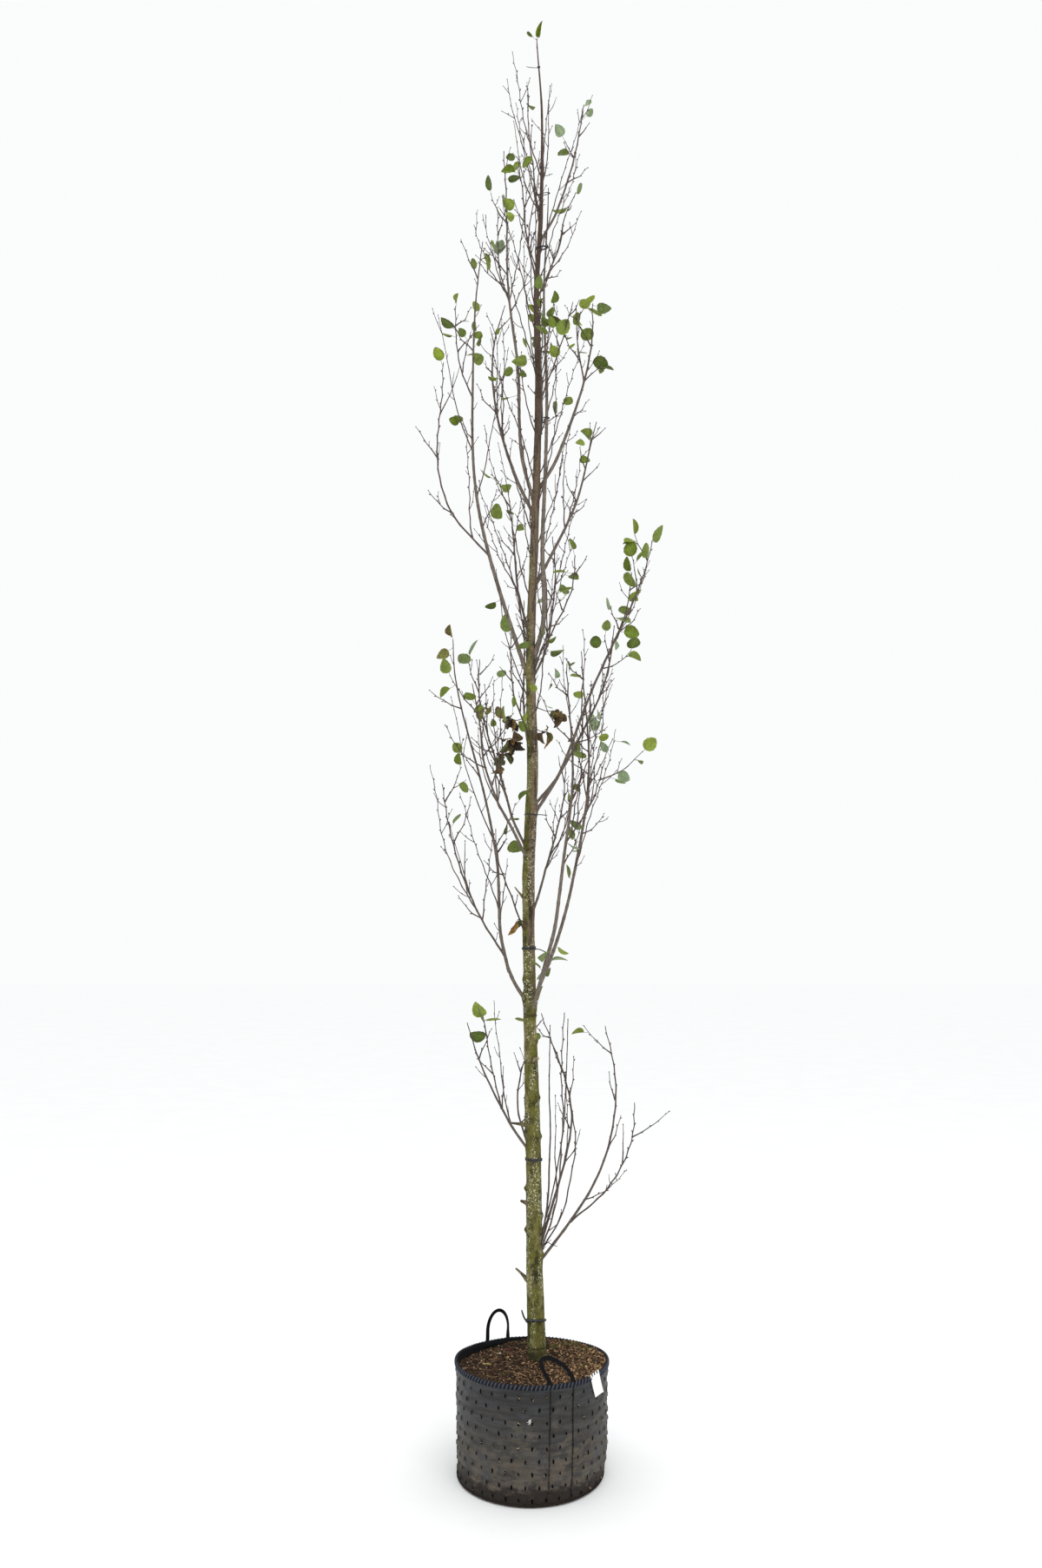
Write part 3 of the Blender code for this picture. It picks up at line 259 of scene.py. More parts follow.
# ---- the finer growth, which only the looks have ----
SKIN_STEP = 0.0085  # between the rings of a stem or twig
NODE_SPACING = 0.031  # between buds
KINK = 0.0017  # a twig turns aside this much at each bud
THIN_RADIUS = 0.0042  # wood thinner than this is kinked
FINE_STEMS = 3  # thin upright stems on each limb
FINE_LENGTH = (0.24, 0.56)
FINE_RADIUS = 0.0019
FINE_STEPS = 5
FINE_LIFT = 0.16
FINE_PLAY = 0.13
FINE_BY_LIMB = {"low_right": 0, "low_back": 5, "long_right": 1, "left_long": 5, "left_upright": 6,
                "left_tall": 5, "back_left": 5, "left_bowed": 4}  # where their number differs
SHOOTS_BY_LIMB = {"low_right": 0.35, "low_back": 0.5, "low_left": 0.5, "low_inner": 0.5, "long_right": 0.5}
TRUNK_STEMS = 44  # thin stems that leave the trunk itself, between these heights
TRUNK_STEM_HEIGHTS = (2.25, 4.15)
# Thin whips in a tangle beside the low boughs.
WHIPS = [Limb(*row) for row in (
    ("whip_near", 0.690, 4, 0, 14, 0.14, 0.044, 0.62, 0.062, 4, 0.0062, 1.0, 0, 0.0, 0, 1),
    ("whip_front", 0.650, -20, 8, 30, 0.16, 0.074, 0.70, 0.108, 6, 0.0056, 1.0, 0, 0.0, 0, 2),
    ("whip_bowed", 0.640, 16, -6, 42, 0.24, 0.126, 0.60, 0.072, -24, 0.0050, 1.0, 0, 0.0, 0, 3),
    ("whip_back", 0.665, 44, -16, 26, 0.22, 0.098, 0.66, 0.136, 2, 0.0048, 1.0, 0, 0.0, 0, 4),
)]
FINE_BEYOND = 0.018  # finer growth may pass its mass's solids by this much
SHOOT_SPACING = 0.100  # between the short shoots on a stem
SHOOT_LENGTH = (0.012, 0.078)
SHOOT_RADIUS = 0.0011
BUD_LENGTH = (0.0060, 0.0098)
BLADE_SHARE = (0.57, 0.88)  # of the leaf's space, past its stalk
STALK_RADIUS = 0.00065
LEAF_ROWS = (0.0, 0.025, 0.08, 0.17, 0.28, 0.40, 0.52, 0.64, 0.75, 0.85, 0.93, 0.98, 1.0)
LEAF_COLUMNS = (-1.0, -0.62, -0.28, -0.035, 0.035, 0.28, 0.62, 1.0)
LEAF_TURNED = 60  # degrees that a leaf may be turned about its own length
# Where leaves are larger or lie flatter: their share of their space, and how far they are turned.
LEAVES_BY_LIMB = {"long_right": (0.80, 0.98, 25), "low_left": (0.92, 1.05, 25),
                  "left_tall": (0.60, 0.92, 50), "left_crown": (0.60, 0.92, 50),
                  "right_crown": (0.60, 0.92, 50), "crown_tip": (0.60, 0.88, 0)}
LEAF_FALLEN = (0.52, 0.30)  # share of the leaves that have dropped, below and above this height
LEAF_FALL_HEIGHT = 2.9
LEAF_KEPT = ("long_right", "low_left", "crown_tip")  # but none from these limbs
# Sprays of leaves on the finer twigs: x, y, height, how many, spread, tint.
LEAF_CLUSTERS = (
    (0.080, -0.030, 1.500, 6, 0.055, "silvery"), (0.240, -0.020, 1.860, 4, 0.045, "silvery"),
    (0.130, 0.000, 1.790, 2, 0.030, "green"), (-0.285, 0.000, 2.600, 3, 0.045, "browning"),
    (0.230, -0.020, 2.240, 5, 0.040, "silvery"), (0.240, -0.020, 2.130, 4, 0.035, "silvery"),
    (0.070, -0.030, 2.200, 3, 0.030, "green"), (0.200, 0.000, 2.610, 4, 0.040, "silvery"),
    (0.110, -0.030, 2.490, 3, 0.035, "deep"), (-0.145, 0.000, 2.470, 3, 0.035, "silvery"),
    (-0.140, 0.000, 2.320, 4, 0.030, "browning"), (-0.060, -0.040, 2.300, 4, 0.028, "browning"),
    (-0.165, -0.010, 3.480, 4, 0.035, "green"), (-0.080, -0.020, 3.380, 4, 0.035, "green"),
    (0.150, -0.020, 3.510, 4, 0.035, "deep"), (0.060, -0.030, 3.600, 4, 0.045, "green"),
    (0.225, 0.000, 3.630, 3, 0.035, "fresh"),
)
LEAF_APART = 0.022  # between the leaves of a spray
LEAF_SHEET = 0.00035

# Dead, curled leaves hang in clusters: x, y, height, how many, spread.
DEAD_CLUSTERS = (
    (-0.068, -0.022, 2.208, 11, 0.030), (-0.066, -0.020, 2.274, 7, 0.022), (-0.088, -0.010, 2.162, 5, 0.022),
    (-0.098, 0.000, 2.129, 3, 0.010), (0.080, -0.010, 2.300, 9, 0.030), (0.051, -0.010, 2.232, 5, 0.018),
    (-0.040, -0.010, 1.640, 3, 0.012),
)
CRUMPLE_SIZE = 0.0034


# ---------------------------------------------------------------- the growth rule
def heading(azimuth):
    """The level unit vector at an azimuth in degrees."""
    return Vector((cos(radians(azimuth)), sin(radians(azimuth)), 0))


def clamp(value):
    """A value kept between 0 and 1."""
    return min(max(value, 0.0), 1.0)


def jitter(chance, amount):
    """A small chance shift, up to an amount along each axis."""
    return Vector([chance.uniform(-amount, amount) for _ in range(3)])


def aimed(chance, *reaches):
    """A chance direction, within a reach along each axis."""
    return Vector([chance.uniform(low, high) for low, high in reaches]).normalized()


def beside(along, turn):
    """The unit vector square to a direction, turned round it by degrees."""
    return Matrix.Rotation(radians(turn), 3, along) @ along.orthogonal().normalized()


def drift_at(x, y, z):
    """A smooth chance number between -1 and 1 for a place."""
    return noise.noise(Vector((x, y, z)))


def hermite(start, end, leave, arrive, share):
    """The cubic from start to end with the given rates of change at its ends."""
    square, cube = share ** 2, share ** 3
    return (start * (2 * cube - 3 * square + 1) + leave * (cube - 2 * square + share)
            + end * (3 * square - 2 * cube) + arrive * (cube - square))


def curve_through(table, at, column):
    """A smooth reading of one column of a table whose first column rises."""
    last = len(table) - 2
    place = 0
    while place < last and at > table[place + 1][0]:
        place += 1
    before, start, end, after = (table[min(max(place + step, 0), last + 1)]
                                 for step in (-1, 0, 1, 2))
    span = end[0] - start[0]
    share = clamp((at - start[0]) / span)
    slope_in = (end[column] - before[column]) / (end[0] - before[0])
    slope_out = (after[column] - start[column]) / (after[0] - start[0])
    return hermite(start[column], end[column], slope_in * span, slope_out * span, share)


def trunk_centre(height):
    at = min(max(height, TRUNK_LINE[0][0]), TRUNK_TIP)
    return Vector((curve_through(TRUNK_LINE, at, 1), curve_through(TRUNK_LINE, at, 2), height))


def trunk_radius(height):
    return curve_through(TRUNK_GIRTH, min(max(height, TRUNK_LINE[0][0]), TRUNK_TIP), 1) / 2


def ring_radius(height, turn):
    """The trunk's radius at a height and a turn, with the root flare's lobes."""
    flare = FLARE_SPREAD * exp(-(height - TRUNK_FOOT) / FLARE_RISE)
    lobes = 0.6 + 0.4 * cos(FLARE_LOBES * turn + 0.8)
    return trunk_radius(height) * (1 + flare * lobes)


class Room:
    """The room already taken, kept as round-ended rods with the name of their owner."""

    def __init__(self):
        self.rods = []
        self.owners = []

    def take(self, owner, points, radius):
        for start, end in zip(points, points[1:]):
            self.rods.append((*start, *end, radius))
            self.owners.append(owner)

    def is_clear(self, owner, points, radius):
        """True when small balls at the points touch no rod of another owner."""
        keep = [place for place, name in enumerate(self.owners) if name != owner]
        rods = np.array([self.rods[place] for place in keep])
        start, along = rods[:, 0:3], rods[:, 3:6] - rods[:, 0:3]
        length = np.maximum((along ** 2).sum(axis=1), 1e-12)
        from_start = np.array([tuple(p) for p in points])[:, None, :] - start[None]
        share = np.clip((from_start * along).sum(axis=2) / length, 0, 1)
        apart = np.linalg.norm(from_start - share[..., None] * along, axis=2) - rods[:, 6]
        return bool((apart > radius + KEEP_CLEAR).all())


def dense(points, step=0.003):
    """The points of a polyline at close, even steps."""
    result = [points[0]]
    for start, end in zip(points, points[1:]):
        count = max(1, ceil((end - start).length / step))
        result += [start.lerp(end, number / count) for number in range(1, count + 1)]
    return result


def reach_at(shape, start_reach, climb):
    """How far out a limb stands after a climb, from its exit, elbow and tip."""
    first = shape.elbow_reach - start_reach
    second = shape.reach - shape.elbow_reach
    rest = shape.rise - shape.elbow_rise
    elbow_slope = (first / shape.elbow_rise + second / rest) / 2
    if climb <= shape.elbow_rise:
        leave = tan(radians(shape.exit_lean))
        return hermite(start_reach, shape.elbow_reach, leave * shape.elbow_rise,
                       elbow_slope * shape.elbow_rise, climb / shape.elbow_rise)
    arrive = tan(radians(shape.tip_lean))
    return hermite(shape.elbow_reach, shape.reach, elbow_slope * rest, arrive * rest,
                   (climb - shape.elbow_rise) / rest)


def taper_at(girth, share):
    """The radius at a share of a limb, from half its girth down to the tip's."""
    return TIP_RADIUS + (girth / 2 - TIP_RADIUS) * max(0.0, 1 - share) ** TAPER


def limb_point(limb, share):
    """A point on a limb's centre line, and the radius there."""
    climb = limb.rise * share
    height = limb.height + climb
    out = heading(limb.azimuth + limb.sweep * share)
    reach = reach_at(limb, trunk_radius(limb.height) + GAP, climb)
    sway = WANDER * sin(tau * (1.4 * share + 0.37 * limb.seed)) * sin(pi * share)
    if limb is CO_LEADER:
        sway = 0
    return trunk_centre(height) + out * reach + out.cross(UP) * sway, taper_at(limb.girth, share)


def limb_line(limb, begin, end):
    """Points and radii along a limb from one share of it to another."""
    count = max(2, round(limb.rise * (end - begin) / RING_STEP))
    rows = [limb_point(limb, begin + (end - begin) * number / count) for number in range(count + 1)]
    return [row[0] for row in rows], [row[1] for row in rows]


def limb_along(limb, share):
    """The direction of a limb's centre line."""
    return (limb_point(limb, share + 0.01)[0] - limb_point(limb, share - 0.01)[0]).normalized()


def fork_line(fork, limb):
    """Points and radii of a second stem, from inside its limb to its tip."""
    root, _ = limb_point(limb, fork.at_rise / limb.rise)
    out = heading(fork.azimuth)
    count = max(2, round(fork.rise / RING_STEP))
    shares = [number / count for number in range(count + 1)]
    points = [root + out * reach_at(fork, 0, fork.rise * share) + UP * fork.rise * share for share in shares]
    return points, [taper_at(fork.girth, share) for share in shares]


def point_on(points, share):
    """The point at a share of a polyline's corners, and the direction there."""
    place = min(share, 0.9999) * (len(points) - 1)
    low = int(place)
    along = points[low + 1] - points[low]
    return points[low] + along * (place - low), along.normalized()


def twig_line(chance, points, share, turn, length):
    """A twig that leaves a stem to one side and bends upright."""
    root, along = point_on(points, share)
    lean = radians(chance.uniform(*TWIG_LEAN))
    towards = along * cos(lean) + beside(along, turn) * sin(lean)
    line = [root]
    for _ in range(TWIG_STEPS):
        line.append(line[-1] + towards * length / TWIG_STEPS)
        towards = (towards + UP * TWIG_LIFT + jitter(chance, TWIG_PLAY)).normalized()
    return line


Leaf = namedtuple("Leaf", "root tip across")


def leaf_from(chance, root, along, is_last):
    """A leaf: its root, its tip and the vector across half of it."""
    lean = radians(chance.uniform(5, 35) if is_last else chance.uniform(45, 85))
    towards = (along * cos(lean) + beside(along, chance.uniform(0, 360)) * sin(lean)).normalized()
    towards = (towards - UP * chance.uniform(0.0, 0.35)).normalized()
    length = chance.uniform(*LEAF_LENGTH)
    face = Matrix.Rotation(chance.uniform(-1.2, 1.2), 3, towards) @ UP
    across = towards.cross(face).normalized()
    return Leaf(root, root + towards * length, across * length * LEAF_WIDTH / 2)


def leaf_ribs(leaf):
    """Lines that cover a leaf's blade, for keeping it clear of everything else."""
    low = leaf.root.lerp(leaf.tip, 0.34)
    high = leaf.root.lerp(leaf.tip, 0.92)
    ribs = [[leaf.root, leaf.tip]]
    for side in LEAF_RIBS:
        ribs.append([low + leaf.across * side, high + leaf.across * side * 0.8])
    return ribs


class Foliage:
    """One mass: its stem and forks, its twigs, and its leaves with the twigs they sit on."""

    def __init__(self, limb):
        self.limb = limb
        self.name = "foliage_" + limb.name
        self.stems = []
        self.twigs = []
        self.leaves = []

    def set_out(self, room):
        """Lay out the stem and the forks and take their room."""
        if self.limb is CROWN_TIP:
            tip = trunk_centre(TRUNK_TIP)
            lean = (tip - trunk_centre(TRUNK_TIP - 0.02)).normalized()
            points = [tip + lean * GAP, tip + lean * CROWN_TIP.rise]
            self.stems.append((points, [CROWN_TIP.girth / 2, TIP_RADIUS]))
        else:
            points, radii = limb_line(self.limb, self.limb.bare, 1.0)
            if self.limb.bare:
                points[0] = points[0] + limb_along(self.limb, self.limb.bare) * GAP
            self.stems.append((points, radii))
        for fork in FORKS:
            if fork.limb == self.limb.name:
                self.stems.append(fork_line(fork, self.limb))
        for points, radii in self.stems:
            room.take(self.name, points, max(radii))

    def grow(self, room):
        """Let twigs branch from the stems by the seeded rule, then set leaves on their tips."""
        chance = random.Random(self.limb.seed)
        for number in range(self.limb.twigs):
            points, radii = self.stems[number % len(self.stems)]
            place = (number + chance.uniform(*TWIG_SCATTER)) / self.limb.twigs
            share = TWIG_ZONE[0] + (TWIG_ZONE[1] - TWIG_ZONE[0]) * place
            turn = number * SPIRAL + chance.uniform(-SPIRAL_PLAY, SPIRAL_PLAY)
            length = self.limb.twig_length * chance.uniform(*TWIG_SHARES) * (1 - TWIG_SHORTER_UP * share)
            line = twig_line(chance, points, share, turn, length)
            beyond_stem = [p for p in dense(line) if (p - line[0]).length > 2 * max(radii)]
            if room.is_clear(self.name, beyond_stem, 2 * TIP_RADIUS):
                room.take(self.name, line, 1.5 * TIP_RADIUS)
                self.twigs.append(line)
        carriers = [points for points, _ in self.stems] + self.twigs
        count = max(1, round(self.limb.leaves / LEAVES_TOGETHER))
        carriers.sort(key=lambda line: -line[-1].z)
        carriers = carriers[:ceil(count * HIGH_SHARE)]
        chance.shuffle(carriers)
        carriers = carriers[:count]
        for number in range(self.limb.leaves):
            row, place = divmod(number, len(carriers))
            share = 0.985 - row * LEAF_SPACING / sqrt(len(carriers[place]) / (TWIG_STEPS + 1))
            for _ in range(LEAF_TRIES):
                leaf = leaf_from(chance, *point_on(carriers[place], share), row == 0)
                blade = [p for rib in leaf_ribs(leaf) for p in dense(rib, 0.004)]
                if room.is_clear(self.name, blade, LEAF_RIB_RADIUS):
                    for rib in leaf_ribs(leaf):
                        room.take(self.name, rib, LEAF_RIB_RADIUS)
                    self.leaves.append((leaf, place))
                    break


def grow_all():
    """Grow every mass in the solids' order, and give back the masses and the room taken."""
    room = Room()
    for number in range(int((TRUNK_TIP - TRUNK_FOOT) / ROOM_STEP)):
        low = TRUNK_FOOT + ROOM_STEP * number
        room.take("trunk", [trunk_centre(low), trunk_centre(low + ROOM_STEP)], ring_radius(low, 0))
    room.take("co_leader", limb_line(CO_LEADER, 0, 1)[0], CO_LEADER.girth / 2)
    masses = [Foliage(limb) for limb in (*LIMBS, CROWN_TIP)]
    for limb in LIMBS:
        if limb.bare:
            points, radii = limb_line(limb, 0, limb.bare)
            room.take("bough_" + limb.name, points, max(radii))
    for mass in masses:
        mass.set_out(room)
    for mass in masses:
        mass.grow(room)
    return masses, room


# ---------------------------------------------------------------- materials
class Value:
    """A number in a material. Sums on it add the nodes that work them out."""

    def __init__(self, maker, socket):
        self.maker = maker
        self.socket = socket

    def sum_with(self, operation, other):
        made = self.maker.node("ShaderNodeMath", {"operation": operation}, {0: self, 1: other})
        return Value(self.maker, made.outputs[0])

    def __add__(self, other):
        return self.sum_with("ADD", other)

    def __sub__(self, other):
        return self.sum_with("SUBTRACT", other)

    def __mul__(self, other):
        return self.sum_with("MULTIPLY", other)

    __radd__, __rmul__ = __add__, __mul__

    def size(self):
        return self.sum_with("ABSOLUTE", 0)

    def wave(self):
        """Up and down between 0 and a half, once in each unit."""
        return self.sum_with("PINGPONG", 0.5)

    def rising(self, low, high):
        """0 below low, 1 above high, and a soft rise between them. high may be the lower one."""
        made = self.maker.node("ShaderNodeMapRange", {"interpolation_type": "SMOOTHSTEP"},
                               {"Value": self, "From Min": low, "From Max": high})
        return Value(self.maker, made.outputs[0])


class Maker:
    """One material and the nodes in it."""

    def __init__(self, name, roughness, specular=0.35):
        self.material = bpy.data.materials.new(name)
        self.material.use_nodes = True
        self.tree = self.material.node_tree
        self.shader = self.tree.nodes["Principled BSDF"]
        self.shader.inputs["Roughness"].default_value = roughness
        self.shader.inputs["Specular IOR Level"].default_value = specular
        self.place = self.node("ShaderNodeTexCoord").outputs["Object"]

    def node(self, kind, settings=None, values=None):
        """Add a node, set it up, and fill or link its sockets."""
        made = self.tree.nodes.new(kind)
        for key, setting in (settings or {}).items():
            setattr(made, key, setting)
        for key, value in (values or {}).items():
            socket = made.inputs[key]
            if isinstance(value, Value):
                value = value.socket
            if isinstance(value, bpy.types.NodeSocket):
                self.tree.links.new(value, socket)
            else:
                socket.default_value = value
        return made

    def stretched(self, wide, tall):
        """The place on the piece, scaled level and upright."""
        values = {"Vector": self.place, "Scale": (wide, wide, tall)}
        return self.node("ShaderNodeMapping", None, values).outputs[0]

    def height(self):
        return Value(self, self.node("ShaderNodeSeparateXYZ", None, {"Vector": self.place}).outputs["Z"])

    def noise(self, scale, tall=1, detail=3.0, roughness=0.55, wide=1):
        made = self.node("ShaderNodeTexNoise", None, {
            "Vector": self.stretched(wide, tall), "Scale": scale, "Detail": detail, "Roughness": roughness})
        return Value(self, made.outputs["Fac"])

    def cells(self, scale, tall):
        """Scattered cells: the distance from a cell's middle, and a chance number of its own."""
        made = self.node("ShaderNodeTexVoronoi", None, {"Vector": self.stretched(1, tall), "Scale": scale})
        chance = self.node("ShaderNodeSeparateColor", None, {"Color": made.outputs["Color"]})
        return Value(self, made.outputs["Distance"]), Value(self, chance.outputs[0])

    def attribute(self, name):
        return Value(self, self.node("ShaderNodeAttribute", {"attribute_name": name}).outputs["Fac"])

    def blend(self, share, first, second):
        """A colour between two colours."""
        first, second = ((*color, 1) if isinstance(color, tuple) else color for color in (first, second))
        made = self.node("ShaderNodeMix", {"data_type": "RGBA"}, {0: share, 6: first, 7: second})
        return made.outputs[2]

    def layered(self, body, *layers):
        """A colour with others laid over it in turn, each given as its share and its colour."""
        for share, color in layers:
            body = self.blend(share, body, color)
        return body

    def finished(self, color, roughness, height, distance):
        """Join up the colour, the roughness, if it varies, and the relief, and give back the material."""
        relief = self.node("ShaderNodeBump", None, {"Distance": distance, "Height": height})
        self.tree.links.new(color, self.shader.inputs["Base Color"])
        self.tree.links.new(relief.outputs[0], self.shader.inputs["Normal"])
        if roughness:
            self.tree.links.new(roughness.socket, self.shader.inputs["Roughness"])
        return self.material


def shade_of(color, times):
    """A colour made lighter or darker."""
    return tuple(min(1.0, part * times) for part in color)


def bark_material():
    """Smooth bark: blotched green with algae low down, streaked grey-brown above, with pale pores."""
    maker = Maker("bark", 0.8, 0.13)
    height = maker.height()
    broad = maker.noise(13, 0.5, 5, 0.65)
    blotches = maker.noise(34, 0.7, 5, 0.7)
    streaks = maker.noise(60, 0.10, 4, 0.6)
    grain = maker.noise(240, 0.6, 4, 0.7)
    olive = maker.layered(
        (0.030, 0.035, 0.007),
        (blotches.rising(0.38, 0.54), (0.132, 0.128, 0.024)),
        (broad.rising(0.50, 0.62) * 0.8, (0.255, 0.220, 0.090)),
        (streaks.rising(0.56, 0.70) * 0.7, (0.078, 0.052, 0.028)))
    green = (maker.attribute("moss") + 1.6 * (broad - 0.5)).rising(0.30, 0.75)
    body = maker.layered(
        (0.054, 0.037, 0.024),
        (streaks.rising(0.38, 0.58), (0.205, 0.150, 0.098)),
        (blotches.rising(0.56, 0.68) * 0.6, (0.270, 0.222, 0.170)),
        (height.rising(2.4, 3.9), (0.094, 0.061, 0.048)),
        (green * 0.92, olive),
        (maker.noise(11, 3.2, 3, wide=0.6).rising(0.56, 0.66) * 0.6, (0.036, 0.032, 0.014)))
    clusters = maker.noise(30, 0.35, 3)
    low_down = height.rising(3.4, 1.4)
    for scale, size in ((170, 0.40), (330, 0.46)):
        near, luck = maker.cells(scale, 0.7)
        pores = (near + 0.9 * (grain - 0.5)).rising(size, size - 0.16)
        pores = pores * luck.rising(0.35, 0.45) * clusters.rising(0.46, 0.56)
        body = maker.blend(pores * low_down * 0.9, body, (0.72, 0.70, 0.46))
    body = maker.layered(
        body,
        (maker.attribute("pale"), (0.60, 0.44, 0.22)),
        # dark: the wounds, rings, knots and stubs, and painted shade at the limb collars and their dents
        (maker.attribute("dark"), (0.024, 0.023, 0.010)),
        (grain.rising(0.56, 0.36) * 0.5, (0.030, 0.027, 0.012)))
    relief = grain * 0.7 + streaks * 0.5 + pores * 0.8 + blotches * 0.6
    return maker.finished(body, 0.68 + 0.3 * grain, relief, 0.0016)


def wood_material(name, old, young, pores_share):
    """Bough or twig bark. The attribute age is 1 on old wood and 0 on this year's."""
    maker = Maker(name, 0.7, 0.25)
    age = maker.attribute("age")
    streaks = maker.noise(110, 0.2, 3)
    patches = maker.noise(28, 0.5, 4)
    grain = maker.noise(420, 0.5, 2)
    near, luck = maker.cells(330, 0.5)
    pores = near.rising(0.30, 0.14) * luck.rising(0.55, 0.65) * pores_share
    bark = maker.layered(
        young,
        (age, old),
        (streaks.rising(0.45, 0.70) * age * 0.6, shade_of(old, 1.7)),
        (patches.rising(0.50, 0.66) * 0.6, shade_of(old, 0.5)),
        (grain.rising(0.62, 0.40) * 0.5, shade_of(young, 0.35)),
        (pores, (0.40, 0.36, 0.27)))
    return maker.finished(bark, 0.55 + 0.3 * streaks, grain * 0.6 + pores, 0.0006)


def mottled(name, color, roughness, specular=0.3, scale=90, change=0.3, relief=0.0005):
    """A natural surface of one tint that drifts lighter and darker, with a fine relief."""
    maker = Maker(name, roughness, specular)
    drift = maker.noise(scale, 1, 4, 0.65)
    body = maker.blend(drift.rising(0.36, 0.64), shade_of(color, 1 - change), shade_of(color, 1 + change))
    return maker.finished(body, roughness - 0.08 + 0.16 * drift, drift, relief)


def leaf_side(name, color, blemish, share, roughness):
    """One side of a leaf: its tint, paler veins slanting from the midrib and browned flecks."""
    maker = Maker(name, roughness, 0.22)
    out = maker.attribute("side").size()
    bloom = maker.noise(75)
    flecks = maker.noise(210, 1, 3, 0.7)
    slant = (7.0 * maker.attribute("along") - 1.7 * out - 0.4 * out * out).wave()
    veins = slant.rising(0.10, 0.02) * out.rising(1.0, 0.75)
    body = maker.layered(
        color,
        (bloom.rising(0.38, 0.62), shade_of(color, 1.35)),
        (slant.rising(0.20, 0.50) * 0.3, shade_of(color, 0.6)),
        (veins * 0.45, LEAF_RIB),
        (flecks.rising(0.70 - 0.25 * share, 0.76 - 0.20 * share) * 0.8, blemish))
    relief = bloom + 0.4 * flecks - 0.5 * veins + 0.6 * slant
    return maker.finished(body, roughness - 0.05 + 0.12 * bloom, relief, 0.0012)


def film_material():
    """The bag's charcoal film: fine level wrinkles, painted lighter on their ridges as highlight and darker
    in their troughs as shade, dust that thickens downwards, a soiled foot.
    """
    maker = Maker("bag_film", 0.5, 0.32)
    height = maker.height()
    clouds = maker.noise(9, 1.4, 5, 0.6)
    smears = maker.noise(30, 1.8, 4, 0.65)
    creases = maker.noise(13, 6, 4, 0.6, 0.8)
    specks = maker.noise(360, 1, 2)
    dust = (height + 0.40 * (clouds - 0.5)).rising(0.300, 0.060) * (0.15 + 0.85 * smears.rising(0.40, 0.60))
    mud = (height + 0.09 * (smears - 0.5)).rising(0.060, 0.036)
    crumbs = specks.rising(0.60, 0.70) * (0.2 + 0.8 * dust)
    pits = specks.rising(0.42, 0.32) * dust
    body = maker.layered(
        (0.011, 0.011, 0.012),
        # painted highlight: the wrinkles lighter where they rise
        (creases.rising(0.38, 0.62), (0.030, 0.0305, 0.033)),
        (clouds.rising(0.48, 0.70) * 0.7, (0.052, 0.053, 0.056)),
        (dust * 0.9, (0.122, 0.101, 0.076)),
        # painted shade: the wrinkles darker in their troughs
        (creases.rising(0.60, 0.36) * 0.35, (0.018, 0.017, 0.016)),
        (mud * 0.95, (0.014, 0.009, 0.006)),
        (crumbs * 0.6, (0.215, 0.170, 0.115)),
        (pits * 0.6, (0.022, 0.018, 0.014)))
    relief = creases * 0.5 + smears * 0.5 + crumbs * 0.5 + mud * specks
    return maker.finished(body, 0.42 + 0.16 * clouds + 0.34 * dust + 0.1 * mud, relief, 0.0030)


def cloth(name, color, light, ribs):
    """Black webbing and hem: fine ribs painted lighter along the weave as a sheen, and a little soil rubbed
    in.
    """
    maker = Maker(name, 0.9, 0.1)
    fuzz = maker.noise(900, 1, 2)
    weave = maker.noise(ribs, 3, 2)
    drift = maker.noise(30)
    # painted highlight: the weave's ribs lighter, as a sheen
    body = maker.blend(weave.rising(0.4, 0.7), color, light)
    body = maker.blend(drift.rising(0.66, 0.8) * 0.25, body, (0.060, 0.046, 0.034))
    return maker.finished(body, 0.72 + 0.2 * fuzz, fuzz * 0.5 + weave, 0.0008)


def soil_material():
    """Moist peat and bark compost."""
    maker = Maker("soil", 0.95, 0.15)
    lumps = maker.noise(55, 1, 5, 0.7)
    crumbs = maker.noise(260, 1, 4, 0.7)
    damp = maker.noise(8)
    body = maker.layered(
        (0.010, 0.007, 0.005),
        (crumbs.rising(0.38, 0.66), (0.080, 0.045, 0.024)),
        (lumps.rising(0.55, 0.75) * 0.5, (0.130, 0.080, 0.045)),
        (damp.rising(0.50, 0.66) * 0.5, (0.020, 0.013, 0.009)))
    return maker.finished(body, None, lumps + crumbs * 0.6, 0.006)


def tag_material():
    """Blank white label film, a little grubby."""
    maker = Maker("label", 0.45, 0.35)
    smudge = maker.noise(40, 1, 4)
    body = maker.blend(smudge.rising(0.55, 0.8) * 0.5, (0.90, 0.90, 0.88), (0.68, 0.66, 0.60))
    return maker.finished(body, None, smudge, 0.0006)


def tie_material():
    """Grey rubbery tie tube, rubbed paler in places."""
    maker = Maker("tie_tube", 0.55, 0.4)
    wear = maker.noise(120)
    body = maker.blend(wear.rising(0.45, 0.75), (0.020, 0.021, 0.024), (0.070, 0.073, 0.078))
    return maker.finished(body, None, wear, 0.0006)


# ---------------------------------------------------------------- mesh helpers
def mode(name):
    bpy.ops.object.mode_set(mode=name)


def deselect():
    if bpy.context.object and bpy.context.object.mode != "OBJECT":
        mode("OBJECT")
    bpy.ops.object.select_all(action="DESELECT")


def pick(*pieces):
    """Select these pieces only, the first one as the active one."""
    deselect()
    for piece in pieces:
        piece.select_set(True)
    bpy.context.view_layer.objects.active = pieces[0]


def placed(name, data):
    """A new object in the scene that holds a mesh, a lamp or a camera."""
    piece = bpy.data.objects.new(name, data)
    bpy.context.scene.collection.objects.link(piece)
    return piece


def show(piece, nodes=(), smooth=40):
    """Finish a piece: smooth it, let it ride on the plant and stand for its solids."""
    pick(piece)
    bpy.ops.object.shade_smooth_by_angle(angle=radians(smooth))
    piece.select_set(False)
    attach(piece, "root")
    if nodes:
        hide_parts(*nodes)
    return piece


